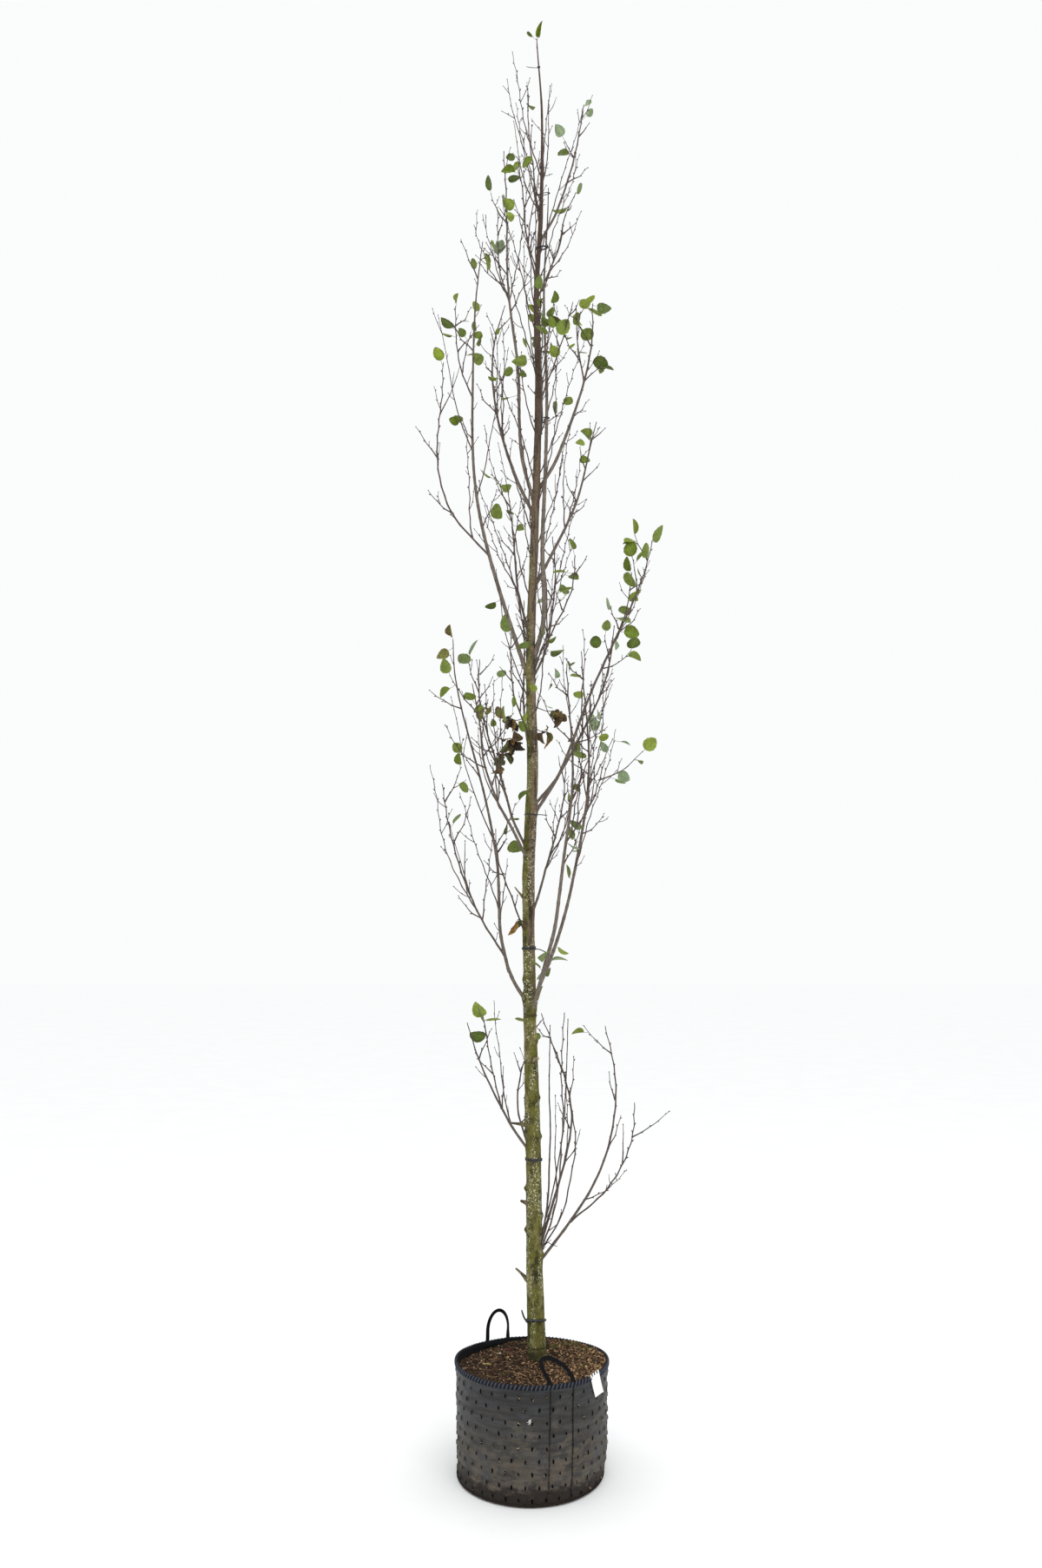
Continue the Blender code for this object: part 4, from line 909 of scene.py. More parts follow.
class Skin:
    """Gathers many shapes into one mesh, each with its own finish and named numbers at its points."""

    def __init__(self, name, materials, *number_names):
        self.name = name
        self.materials = materials
        self.verts = []
        self.faces = []
        self.finishes = []
        self.numbers = {number_name: [] for number_name in number_names}

    def add(self, verts, faces, finish=0, **numbers):
        """Add a shape. finish is one number, or one for each face; the others likewise by point."""
        base = len(self.verts)
        self.verts.extend(tuple(v) for v in verts)
        self.faces.extend(tuple(base + corner for corner in face) for face in faces)
        self.finishes.extend(finish if isinstance(finish, list) else [finish] * len(faces))
        for name, kept in self.numbers.items():
            given = numbers.get(name, 0.0)
            kept.extend(given if isinstance(given, list) else [given] * len(verts))

    def tube(self, points, radii, sides, finish=0):
        """Add a tube. radii is one number, or one for each point."""
        self.add(*tube(points, radii if isinstance(radii, list) else [radii] * len(points), sides), finish)

    def build(self):
        mesh = bpy.data.meshes.new(self.name)
        mesh.from_pydata(self.verts, [], self.faces)
        for material in self.materials:
            mesh.materials.append(material)
        mesh.polygons.foreach_set("material_index", self.finishes)
        for name, kept in self.numbers.items():
            mesh.attributes.new(name, "FLOAT", "POINT")
            mesh.attributes[name].data.foreach_set("value", kept)
        mesh.update()
        return placed(self.name, mesh)

    def show(self, slot, smooth=60, nodes=()):
        show(self.build(), nodes, smooth)


def ring_faces(rings, sides):
    """The faces between rings of points, with both ends closed."""
    faces = []
    for low in range(0, (rings - 1) * sides, sides):
        for corner in range(sides):
            following = (corner + 1) % sides
            faces.append((low + corner, low + following, low + sides + following, low + sides + corner))
    return faces + [tuple(range(sides))[::-1], tuple(range((rings - 1) * sides, rings * sides))]


def tapered(radius, *parts):
    return [radius * part for part in parts]


def tube(points, radii, sides):
    """Rings of points round a line, with closed ends."""
    verts = []
    side = None
    for number, point in enumerate(points):
        before = points[max(number - 1, 0)]
        after = points[min(number + 1, len(points) - 1)]
        along = (after - before).normalized()
        if side is None:
            side = along.orthogonal().normalized()
        side = (side - along * side.dot(along)).normalized()
        across = along.cross(side)
        for corner in range(sides):
            turn = tau * corner / sides
            verts.append(point + (side * cos(turn) + across * sin(turn)) * radii[number])
    return verts, ring_faces(len(points), sides)


def put_in_order(mesh):
    """List a mesh's points and faces by their places, which edit mode leaves in a chance order."""
    spots = [tuple(round(part, 7) for part in vert.co) for vert in mesh.vertices]
    order = sorted(range(len(spots)), key=spots.__getitem__)
    place = {old: new for new, old in enumerate(order)}
    verts = [mesh.vertices[old].co.copy() for old in order]
    faces = sorted([place[corner] for corner in face.vertices] for face in mesh.polygons)
    mesh.clear_geometry()
    mesh.from_pydata(verts, [], faces)
    mesh.update()


def spun(name, profile, steps, is_ring):
    """A profile of (radius, height) points, drawn at the front and spun round the upright axis."""
    mesh = bpy.data.meshes.new(name)
    edges = [(number, number + 1) for number in range(len(profile) - 1)]
    if is_ring:
        edges.append((len(profile) - 1, 0))
    mesh.from_pydata([(radius, 0, height) for radius, height in profile], edges, [])
    pick(placed(name, mesh))
    mode("EDIT")
    bpy.ops.mesh.select_all(action="SELECT")
    bpy.ops.mesh.spin(steps=steps, angle=tau, center=(0, 0, 0), axis=(0, 0, 1))
    bpy.ops.mesh.select_all(action="SELECT")
    bpy.ops.mesh.remove_doubles(threshold=0.00001)
    bpy.ops.mesh.normals_make_consistent(inside=False)
    mode("OBJECT")
    put_in_order(mesh)
    return bpy.context.object


def sheet(name, columns, rows, place):
    """A grid of cells whose points go where place(u, v) puts them, u and v from 0 to 1."""
    deselect()
    bpy.ops.mesh.primitive_grid_add(x_subdivisions=columns, y_subdivisions=rows, size=1, location=(0, 0, 0))
    piece = bpy.context.object
    piece.name = name
    return moulded(piece, lambda point: place(point.x + 0.5, point.y + 0.5))


def thickened(piece, thickness):
    """Give a sheet its thickness, half to each side."""
    pick(piece)
    shell = piece.modifiers.new("thickness", "SOLIDIFY")
    shell.thickness = thickness
    shell.offset = 0
    bpy.ops.object.modifier_apply(modifier=shell.name)
    return piece


def joined(name, pieces):
    """Join pieces into one with its place in its mesh."""
    pick(*pieces)
    bpy.ops.object.transform_apply(location=True, rotation=True, scale=True)
    bpy.ops.object.join()
    pieces[0].name = name
    return pieces[0]


def moulded(piece, move):
    """Move every point of a piece to where move puts it."""
    for vert in piece.data.vertices:
        vert.co = move(vert.co.copy())
    piece.data.update()
    return piece


# ---------------------------------------------------------------- trunk
def apart_from(turn, azimuth):
    """The turn from an azimuth in degrees, between half a turn back and half a turn on."""
    return (turn - radians(azimuth) + pi) % tau - pi


def bump_on(height, turn, radius, rows):
    """How far the swellings near this point of the trunk lift it."""
    lift = 0.0
    for at, azimuth, out, half, _ in rows:
        up = (height - at) / half
        if abs(up) < 3:
            apart = apart_from(turn, azimuth)
            lift += out * exp(-up ** 2 - (apart * radius / half) ** 2)
    return lift


def moss_at(height, turn):
    """How green the bark is: all round low down, and only on the left side higher up."""
    low = clamp((1.75 - height) / 0.5)
    side = max(0.0, -cos(turn - 0.3)) ** 0.7 * clamp((3.1 - height) / 0.6)
    return max(low, side)


def collars():
    """A swelling where each limb leaves the trunk, and a small dent above it, both darkened with painted
    shade.
    """
    rows = []
    for limb in (*LIMBS, CO_LEADER):
        size = limb.girth
        # The last number is how dark each is: painted shade under the limb and in the dent above it.
        rows.append((limb.height - 0.2 * size, limb.azimuth, 0.38 * size, 1.5 * size, 0.35))
        rows.append((limb.height + 2.6 * size, limb.azimuth, -0.07 * size, 1.1 * size, 0.5))
    return rows


def build_trunk():
    """The trunk with its bark relief, knots, collars, rings and the stubs of pruned boughs."""
    swellings = [*KNOTS, *collars()]
    count = ceil((TRUNK_TIP - TRUNK_FOOT) / TRUNK_STEP)
    verts, dark, moss = [], [], []
    for ring in range(count + 1):
        height = TRUNK_FOOT + (TRUNK_TIP - TRUNK_FOOT) * ring / count
        centre = trunk_centre(height)
        near = [row for row in swellings if abs(height - row[0]) < 3.2 * row[3]]
        scale = min(1.0, trunk_radius(height) / 0.016)
        for corner in range(TRUNK_SIDES):
            turn = tau * corner / TRUNK_SIDES
            radius = ring_radius(height, turn)
            out = Vector((cos(turn), sin(turn), 0))
            place = centre + out * radius
            relief = bump_on(height, turn, radius, near)
            for size, across, upright in BARK_RELIEF:
                relief += scale * size * drift_at(place.x * across, place.y * across, height * upright)
            dark_marks_and_shade = 0.0
            for at, half, strength in BARK_RINGS:
                dark_marks_and_shade = max(dark_marks_and_shade, strength * exp(-((height - at) / half) ** 2))
            # Knots darken by their own colour; the limb collars and the dents above them get painted shade.
            for at, azimuth, _, half, strength in near:
                out_of = hypot(apart_from(turn, azimuth) * radius, height - at) / half
                dark_marks_and_shade = max(dark_marks_and_shade, strength * exp(-1.4 * out_of ** 2))
            for at, azimuth, half_width, half_height in WOUNDS:
                apart = apart_from(turn, azimuth)
                out_of = hypot(apart * radius / half_width, (height - at) / half_height)
                dark_marks_and_shade = max(dark_marks_and_shade, min(1.0, 1.6 * exp(-out_of ** 2)))
                relief -= 0.0016 * exp(-out_of ** 2)
            relief -= 0.0007 * dark_marks_and_shade * scale
            verts.append(centre + out * (radius + relief))
            dark.append(dark_marks_and_shade * 0.9)
            moss.append(moss_at(height, turn))
    skin = Skin("trunk_bark", [bark_material()], "dark", "pale", "moss")
    skin.add(verts, ring_faces(count + 1, TRUNK_SIDES), 0, dark=dark, moss=moss)
    for height, azimuth, lean, length, girth in STUBS:
        verts, faces = stub_shape(height, azimuth, lean, length, girth)
        cut = STUB_SIDES if height > 1.1 else 0
        pale = [0.0] * (len(verts) - cut) + [0.85] * cut
        skin.add(verts, faces, 0, dark=0.12, pale=pale, moss=0.4)
    skin.show("trunk_bark", 55, ["trunk"])


def stub_shape(height, azimuth, lean, length, girth):
    """A pruned stub: a knobbly root, a slight bend and a cut end."""
    root = trunk_centre(height) + heading(azimuth) * trunk_radius(height) * 0.5
    towards = heading(azimuth) * sin(radians(lean)) + UP * cos(radians(lean))
    full = length + trunk_radius(height) * 0.5
    points = []
    radii = []
    for number in range(9):
        share = number / 8
        bend = heading(azimuth + 90) * 0.0016 * sin(5 * share + azimuth)
        points.append(root + towards * full * share + bend)
        radii.append(girth * (0.62 - 0.30 * share + 0.30 * exp(-((share - 0.25) / 0.22) ** 2)) / 1.15)
    radii[-1] *= 0.8
    return tube(points, radii, STUB_SIDES)


# ---------------------------------------------------------------- boughs, twigs and buds
def curve_at(points, radii, share):
    """The point and radius at a share of the corners, on a smooth curve through them."""
    place = min(max(share, 0.0), 0.99999) * (len(points) - 1)
    low = int(place)
    start, end = points[low], points[low + 1]
    leave = (end - points[low - 1]) / 2 if low else end - start
    arrive = (points[low + 2] - start) / 2 if low + 2 < len(points) else end - start
    radius = radii[low] + (radii[low + 1] - radii[low]) * (place - low)
    return hermite(start, end, leave, arrive, place - low), radius


class Shoot:
    """A limb, stem or twig, kinked at its buds where its wood is thin."""

    def __init__(self, points, radii, turn, flare=0.0):
        self.points = points
        self.radii = radii
        self.flare = flare
        self.length = sum((end - start).length for start, end in zip(points, points[1:]))
        along = (points[-1] - points[0]).normalized()
        self.side = Matrix.Rotation(turn, 3, along) @ along.orthogonal().normalized()

    def at(self, share):
        """The point and the radius at a share of its corners."""
        point, radius = curve_at(self.points, self.radii, share)
        gone = share * self.length
        thin = clamp((THIN_RADIUS - radius) / 0.0025)
        wave = abs((gone / NODE_SPACING) % 2 - 1) * 2 - 1
        swell = 1 + self.flare * exp(-gone / 0.018)
        swell += 0.16 * exp(-(((gone / NODE_SPACING + 0.5) % 1 - 0.5) / 0.12) ** 2)
        return point + self.side * KINK * thin * wave, radius * swell

    def along(self, share):
        return (self.at(min(share + 0.02, 1.0))[0] - self.at(max(share - 0.02, 0.0))[0]).normalized()

    def skin(self, sides):
        count = max(3, ceil(self.length / SKIN_STEP))
        rows = [self.at(number / count) for number in range(count + 1)]
        return tube([row[0] for row in rows], [row[1] for row in rows], sides), [row[1] for row in rows]

    def nodes(self, start=0.0):
        """Where its buds sit: the share, and the side that the bud points to."""
        count = int(self.length / NODE_SPACING)
        for number in range(1, count + 1):
            share = number * NODE_SPACING / self.length
            if start < share < 0.97:
                yield share, self.side * (1 if number % 2 == 0 else -1)


def bud_shape():
    """A stalked bud along +Z, one unit long: five sides, swollen past its stalk."""
    points = [Vector((0, 0, level)) for level in (0.0, 0.22, 0.45, 0.70, 1.0)]
    return tube(points, [0.085, 0.075, 0.19, 0.17, 0.02], 5)


def set_at(shape, root, towards, size, spin=0.0, thick=1.0):
    """A shape along +Z, placed at a root and turned to point somewhere."""
    turn = towards.to_track_quat("Z", "Y").to_matrix() @ Matrix.Rotation(spin, 3, "Z")
    verts, faces = shape
    return [root + turn @ Vector((v.x * size * thick, v.y * size * thick, v.z * size)) for v in verts], faces


def age_of(radius):
    """1 for old thick wood and 0 for thin new wood."""
    return clamp((radius - 0.0012) / 0.0045)


def fine_stem(chance, shoot, share, turn):
    """A thin stem that leaves a limb narrowly and climbs beside it."""
    root, along = shoot.at(share)[0], point_on(shoot.points, share)[1]
    towards = (along * 0.7 + UP * 0.5 + beside(along, turn) * 0.42).normalized()
    step = chance.uniform(*FINE_LENGTH) / FINE_STEPS
    line = [root]
    for _ in range(FINE_STEPS):
        line.append(line[-1] + towards * step)
        towards = (towards + UP * FINE_LIFT + jitter(chance, FINE_PLAY)).normalized()
    return line


def rooted(points, radii, depth):
    """A stem's line begun this much further back, inside what it grows from."""
    back = (points[0] - points[1]).normalized() * depth
    return [points[0] + back] + points, [radii[0]] + radii


class Wood:
    """All the wood of the crown: limbs, twigs and buds, each gathered into one skin."""

    def __init__(self):
        old, young = (0.185, 0.152, 0.124), (0.068, 0.042, 0.036)
        self.limbs = Skin("boughs", [wood_material("bough_bark", old, young, 0.7)], "age")
        self.twigs = Skin("twigs", [wood_material("twig_bark", old, young, 0.5)], "age")
        self.buds = Skin("buds", [mottled("bud_plum", (0.062, 0.027, 0.028), 0.5),
                                  mottled("bud_green", (0.092, 0.078, 0.034), 0.5)])
        self.bud = bud_shape()
        self.chance = random.Random(4004)
        self.perches = []

    def add(self, skin, shoot, sides):
        shape, radii = shoot.skin(sides)
        skin.add(*shape, 0, age=[age_of(radius) for radius in radii for _ in range(sides)])
        count = max(2, int(shoot.length / 0.012))
        self.perches += [shoot.at(number / count)[0] for number in range(count + 1)]

    def add_twig(self, shoots, line, radii, turn, flare=0.0, sides=6):
        shoots.append(Shoot(line, radii, turn, flare))
        self.add(self.twigs, shoots[-1], sides)

    def add_buds(self, shoot):
        """Buds at the nodes of a shoot and one at its tip."""
        bare_until = 0.45 if shoot.length > 0.3 else 0.0
        for share, side in [*shoot.nodes(bare_until), (0.995, shoot.side * 0.1)]:
            point, radius = shoot.at(share)
            towards = (shoot.along(share) + side * 0.45).normalized()
            size, spin = self.chance.uniform(*BUD_LENGTH), self.chance.uniform(0, 6)
            thick = self.chance.uniform(0.85, 1.2)
            verts, faces = set_at(self.bud, point + side * radius * 0.5, towards, size, spin, thick)
            self.buds.add(verts, faces, 0 if self.chance.random() < 0.8 else 1)

    def fits(self, mass, room, line, radius):
        """True when a finer line keeps to the reach of its mass and clear of everything else."""
        low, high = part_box(mass.name)
        for point in line:
            for axis in range(3):
                if not low[axis] - FINE_BEYOND < point[axis] < high[axis] + FINE_BEYOND:
                    return False
        beyond = [point for point in dense(line) if (point - line[0]).length > 6 * radius]
        return bool(beyond) and room.is_clear(mass.name, beyond, radius)

    def dress(self, mass, room):
        """Give a mass its stems and twigs, then finer stems, short shoots and buds."""
        shoots = []
        for number, (points, radii) in enumerate(mass.stems):
            flare = 0.0 if number == 0 and mass.limb.bare else 0.4
            if number == 0 and mass.limb is not CROWN_TIP:
                if mass.limb.bare:
                    back = limb_along(mass.limb, mass.limb.bare) * 0.012
                    points, radii = [points[0] - back] + points, [radii[0]] + radii
                else:
                    points, radii = rooted(points, radii, trunk_radius(mass.limb.height) * 0.7)
            shoots.append(Shoot(points, radii, mass.limb.seed + number, flare))
            self.add(self.limbs, shoots[-1], 8)
        for number in range(FINE_STEMS * 3 if mass.limb.rise > 0.35 else 3):
            carrier = shoots[number % len(mass.stems)]
            share = self.chance.uniform(0.03, 0.50)
            line = fine_stem(self.chance, carrier, share, SPIRAL * number + self.chance.uniform(-50, 50))
            is_full = len(shoots) == len(mass.stems) + FINE_BY_LIMB.get(mass.limb.name, FINE_STEMS)
            if not is_full and self.fits(mass, room, line, 0.002):
                radii = tapered(FINE_RADIUS, 1.15, 1.0, 0.85, 0.7, 0.58, 0.45)
                self.add_twig(shoots, line, radii, number + mass.limb.seed, 0.3)
        for number, line in enumerate(mass.twigs):
            self.add_twig(shoots, line, tapered(TIP_RADIUS, 1.65, 1.15, 0.72), 2.4 * number, 0.3)
        likely = 0.8 * SHOOTS_BY_LIMB.get(mass.limb.name, 1.0)
        self.add_spurs(shoots, likely, lambda line: self.fits(mass, room, line, 0.0012))

    def add_spurs(self, shoots, likely, fits):
        """Short shoots on the stems given, then buds on everything."""
        for shoot in list(shoots):
            count = int(shoot.length / SHOOT_SPACING) if shoot.length > 0.05 else 0
            for number in range(count):
                share = (number + self.chance.uniform(0.4, 1.0)) / (count + 0.3)
                turn = number * SPIRAL + self.chance.uniform(-40, 40)
                length = self.chance.uniform(*SHOOT_LENGTH) * (0.65 if shoot.length < 0.25 else 1.0)
                line = twig_line(self.chance, shoot.points, share, turn, length)
                line[0] = shoot.at(share)[0]
                if self.chance.random() < likely and fits(line):
                    radii = tapered(SHOOT_RADIUS, 1.25, 1.0, 0.72)
                    self.add_twig(shoots, line, radii, self.chance.uniform(0, 6), sides=5)
        for shoot in shoots:
            self.add_buds(shoot)

    def dress_trunk(self, room):
        """Thin stems that hug the upper trunk."""
        low, high = TRUNK_STEM_HEIGHTS
        line = [trunk_centre(low + (high - low) * number / 40) for number in range(41)]
        trunk = Shoot(line, [0.02] * 41, 0)
        shoots = []
        for number in range(TRUNK_STEMS):
            share = (number + self.chance.random()) / TRUNK_STEMS
            stem = fine_stem(self.chance, trunk, share, SPIRAL * number)
            longer = 1.45 - 0.45 * share
            stem = [stem[0]] + [stem[0] + (point - stem[0]) * longer for point in stem[1:]]
            beyond = [point for point in dense(stem) if (point - stem[0]).length > 0.03]
            if room.is_clear("trunk", beyond, 0.0018):
                room.take("trunk", stem[1:], 0.0015)
                radii = tapered(FINE_RADIUS, 1.2, 1.05, 0.9, 0.75, 0.6, 0.45)
                self.add_twig(shoots, stem, radii, number, 0.3)
        self.add_spurs(shoots, 0.9, lambda line: room.is_clear("trunk", dense(line), 0.0012))

    def add_whips(self):
        """The tangle of thin whips, each with a few short shoots low down and buds along it."""
        for whip in WHIPS:
            points, radii = rooted(*limb_line(whip, 0, 1), trunk_radius(whip.height) * 0.5)
            for number in range(1, len(points) - 1):
                points[number] = points[number] + jitter(self.chance, 0.005 if number > 3 else 0.0035)
            shoots = []
            self.add_twig(shoots, points, radii, whip.seed, 0.5, 7)
            shoot = shoots[0]
            self.add_buds(shoot)
            for number in range(4):
                share = 0.06 + 0.06 * number + self.chance.uniform(-0.02, 0.02)
                length = self.chance.uniform(0.014, 0.040)
                line = twig_line(self.chance, shoot.points, share, number * SPIRAL, length)
                line[0] = shoot.at(share)[0]
                self.add_twig(shoots, line, tapered(SHOOT_RADIUS, 1.9, 1.5, 0.8), number, sides=5)
                self.add_buds(shoots[-1])

    def build(self, masses, room):
        for limb in (*LIMBS, CO_LEADER):
            if limb.bare:
                line = limb_line(limb, 0, min(1.0, limb.bare + 0.001))
                points, radii = rooted(*line, trunk_radius(limb.height) * 0.7)
                self.add(self.limbs, Shoot(points, radii, limb.seed, 0.55), 12)
        for mass in masses:
            self.dress(mass, room)
        self.dress_trunk(room)
        self.add_whips()
        names = [mass.name for mass in masses]
        boughs = ["co_leader"] + ["bough_" + limb.name for limb in LIMBS if limb.bare]
        self.limbs.show("bough_bark", 60, boughs)
        self.twigs.show("foliage", 60, names)
        self.buds.show("foliage")


# ---------------------------------------------------------------- leaves
def leaf_half_width(along, point):
    """The outline of a leaf: half its width at a share of its length. point is 0 for a round one."""
    if not 0 < along < 1:
        return 0.012
    bulge = sin(pi * along ** (0.90 - 0.22 * point)) ** (0.60 + 0.16 * point)
    return LEAF_WIDTH * (0.565 - 0.03 * point) * bulge


def leaf_shape(length, fold, curl, droop, twist, teeth, point):
    """A leaf blade along +Y facing +Z: an upper and an under sheet.

    fold is how far each half is turned up from flat, in radians.
    """
    top = []
    for row, along in enumerate(LEAF_ROWS):
        half = leaf_half_width(along, point)
        for side in LEAF_COLUMNS:
            out = abs(side)
            edge = 1 + teeth * (1 if row % 2 else -1) if out == 1 else 1
            x = side * half * edge * cos(fold)
            z = out * half * sin(fold) + curl * out ** 2 * half - droop * along ** 2
            lean = twist * along
            top.append(Vector((x * cos(lean) - z * sin(lean), along - 0.12 * out ** 2 * (1 - along) * half,
                               x * sin(lean) + z * cos(lean))) * length)
    columns, rows = len(LEAF_COLUMNS), len(LEAF_ROWS)
    under = [point - Vector((0, 0, LEAF_SHEET)) for point in top]
    faces = []
    parts = []
    for row in range(rows - 1):
        for column in range(columns - 1):
            low = row * columns + column
            faces.append((low, low + 1, low + columns + 1, low + columns))
            at_edge = column in (0, columns - 2)
            parts.append("rib" if column == columns // 2 - 1 else "edge" if at_edge else "upper")
            faces.append(tuple(len(top) + corner for corner in faces[-1][::-1]))
            parts.append("under")
    rim = [column for column in range(columns)] + [row * columns + columns - 1 for row in range(1, rows)]
    rim += [(rows - 1) * columns + column for column in range(columns - 2, -1, -1)]
    rim += [row * columns for row in range(rows - 2, 0, -1)]
    for start, end in zip(rim, rim[1:] + rim[:1]):
        faces.append((start, len(top) + start, len(top) + end, end))
        parts.append("edge")
    return top + under, faces, parts


def leaf_turn(across, towards):
    """The turn that takes a leaf shape's +X across and its +Y along."""
    return Matrix((across, towards, across.cross(towards))).transposed()


# Each tint: upper side, under side, browned edge, share of blemishes, how often it is chosen.
LEAF_TINTS = {
    "green": ((0.118, 0.170, 0.010), (0.156, 0.205, 0.036), (0.104, 0.132, 0.012), 0.1, 40),
    "deep": ((0.072, 0.110, 0.010), (0.124, 0.166, 0.036), (0.064, 0.078, 0.012), 0.3, 20),
    "fresh": ((0.176, 0.245, 0.012), (0.200, 0.258, 0.038), (0.150, 0.190, 0.014), 0.0, 18),
    "silvery": ((0.145, 0.200, 0.060), (0.235, 0.305, 0.175), (0.130, 0.170, 0.050), 0.1, 12),
    "browning": ((0.136, 0.144, 0.017), (0.170, 0.174, 0.042), (0.140, 0.070, 0.026), 0.8, 10),
}
LEAF_BLEMISH = (0.070, 0.038, 0.018)
LEAF_RIB = (0.150, 0.205, 0.062)
DEAD_TINTS = ((0.092, 0.062, 0.030), (0.038, 0.027, 0.018), (0.170, 0.112, 0.038), (0.074, 0.082, 0.028),
              (0.240, 0.136, 0.042))


def clustered_leaves(perches):
    """The leaves of the sprays, each on the twig point nearest to it that has no leaf yet."""
    chance = random.Random(88)
    for number, (x, y, height, count, spread, _) in enumerate(LEAF_CLUSTERS):
        taken = []
        for _ in range(count):
            middle = Vector((x, y, height)) + jitter(chance, spread)
            free = [perch for perch in perches if all((perch - other).length > LEAF_APART for other in taken)]
            root = min(free, key=lambda perch: (perch - middle).length)
            taken.append(root)
            outwards = Vector((root.x, root.y, 0)).normalized()
            yield number, leaf_from(chance, root, (outwards + UP).normalized(), False), 0


def build_leaves(masses, perches):
    """Leaves on their stalks, in the places where the solids have theirs, tinted spray by spray."""
    looks = {}
    for tint, (upper, under, edge, share, _) in LEAF_TINTS.items():
        for part, color, roughness in (("upper", upper, 0.48), ("under", under, 0.7), ("edge", edge, 0.55)):
            looks[tint, part] = leaf_side(f"leaf_{part}_{tint}", color, LEAF_BLEMISH, share, roughness)
    looks["rib"] = mottled("leaf_rib", LEAF_RIB, 0.45)
    looks["stalk"] = mottled("leaf_stalk", (0.120, 0.115, 0.045), 0.5)
    slots = {part: number for number, part in enumerate(looks)}
    leaves = Skin("leaves", list(looks.values()), "side", "along")
    sides = [side for _ in LEAF_ROWS for side in LEAF_COLUMNS] * 2
    alongs = [along for along in LEAF_ROWS for _ in LEAF_COLUMNS] * 2
    chance = random.Random(707)
    tints = list(LEAF_TINTS)
    weights = [row[-1] for row in LEAF_TINTS.values()]
    spray_tints = {(number, 0): row[-1] for number, row in enumerate(LEAF_CLUSTERS)}
    fallen = random.Random(505)
    found = [(mass.limb.name, leaf, place) for mass in masses for leaf, place in mass.leaves]
    for name, leaf, place in [*found, *clustered_leaves(perches)]:
        low, high, turned = LEAVES_BY_LIMB.get(name, (*BLADE_SHARE, LEAF_TURNED))
        share = LEAF_FALLEN[leaf.root.z > LEAF_FALL_HEIGHT]
        if fallen.random() < share and name not in (*LEAF_KEPT, *range(len(LEAF_CLUSTERS))):
            continue
        tint = spray_tints.setdefault((name, place), chance.choices(tints[:-1], weights[:-1])[0])
        if chance.random() < 0.3:
            tint = chance.choices(tints, weights)[0]
        space = (leaf.tip - leaf.root).length
        towards = (leaf.tip - leaf.root).normalized()
        turned = radians(chance.uniform(-turned, turned))
        across = Matrix.Rotation(turned, 3, towards) @ leaf.across.normalized()
        length = space * chance.uniform(low, high)
        stalk = max(space - length * 0.97, 0.0) + 0.004
        base = leaf.root + towards * stalk
        fold = 1.15 if name == CROWN_TIP.name else chance.choice((0.05, 0.2, 0.35, 0.6))
        curl, droop = chance.uniform(-0.40, 0.25), chance.uniform(-0.08, 0.26)
        verts, faces, parts = leaf_shape(length, fold, curl, droop, chance.uniform(-0.5, 0.5), 0.035,
                                         chance.random() ** 1.5)
        turn = leaf_turn(across, towards)
        if chance.random() < 0.5:
            turn = turn @ Matrix.Rotation(pi, 3, "Y")
        verts = [base + turn @ point for point in verts]
        finish = [slots["rib"] if part == "rib" else slots[tint, part] for part in parts]
        leaves.add(verts, faces, finish, side=sides, along=alongs)
        sag = leaf.root.lerp(base, 0.5) - UP * 0.0015
        leaves.tube([leaf.root, sag, base, base + towards * 0.003],
                    tapered(STALK_RADIUS, 1.3, 1, 1, 0.7), 5, slots["stalk"])
    leaves.show("foliage", 50, [mass.name for mass in masses])


def crumple(place, crease):
    """A smooth chance shift of a point, drawn anew for each crease."""
    return Vector([noise.noise(place + Vector((crease, 9.3 * axis, 0))) for axis in range(3)])


def build_dead_leaves(perches):
    """Withered leaves, rolled up, in clusters on thin twigs that leave the wood nearest to them."""
    materials = [mottled(f"dead_leaf_{number}", color, 0.8, 0.2, 160, 0.5)
                 for number, color in enumerate(DEAD_TINTS)]
    dead = Skin("dead_leaves", materials)
    chance = random.Random(99)
    for x, y, height, count, spread in DEAD_CLUSTERS:
        middle = Vector((x, y, height))
        hub = min(perches, key=lambda perch: (perch - middle).length)
        bend = hub.lerp(middle, 0.5) - UP * 0.006
        end = middle + (middle - hub).normalized() * spread * 0.5 - UP * 0.004
        corners, radii = [hub, bend, middle, end], [0.0016, 0.0013, 0.0011, 0.0007]
        twig = [curve_at(corners, radii, step / 12) for step in range(13)]
        dead.tube([row[0] for row in twig], [row[1] for row in twig], 6, 1)
        for _ in range(count):
            root = twig[chance.randint(6, 12)][0]
            length = chance.uniform(0.026, 0.048)
            verts, faces, _ = leaf_shape(length, chance.uniform(0.4, 1.2), chance.uniform(-0.9, 0.5),
                                         chance.uniform(-0.2, 0.6), chance.uniform(-0.9, 0.9), 0.05,
                                         0.5 * chance.random())
            crease = chance.uniform(0, 90)
            verts = [point + crumple(point * 60, crease) * CRUMPLE_SIZE for point in verts]
            towards = aimed(chance, (-0.9, 0.9), (-0.9, 0.9), (-1.5, 0.1))
            turn = leaf_turn(towards.orthogonal().normalized(), towards)
            stalk = root + towards * chance.uniform(0.15, 0.55) * spread
            finish = chance.randrange(len(DEAD_TINTS))
            dead.add([stalk + turn @ point for point in verts], faces, finish)
            dead.tube([root, stalk, stalk + towards * 0.003], STALK_RADIUS, 5, finish)
    dead.show("foliage", 45)


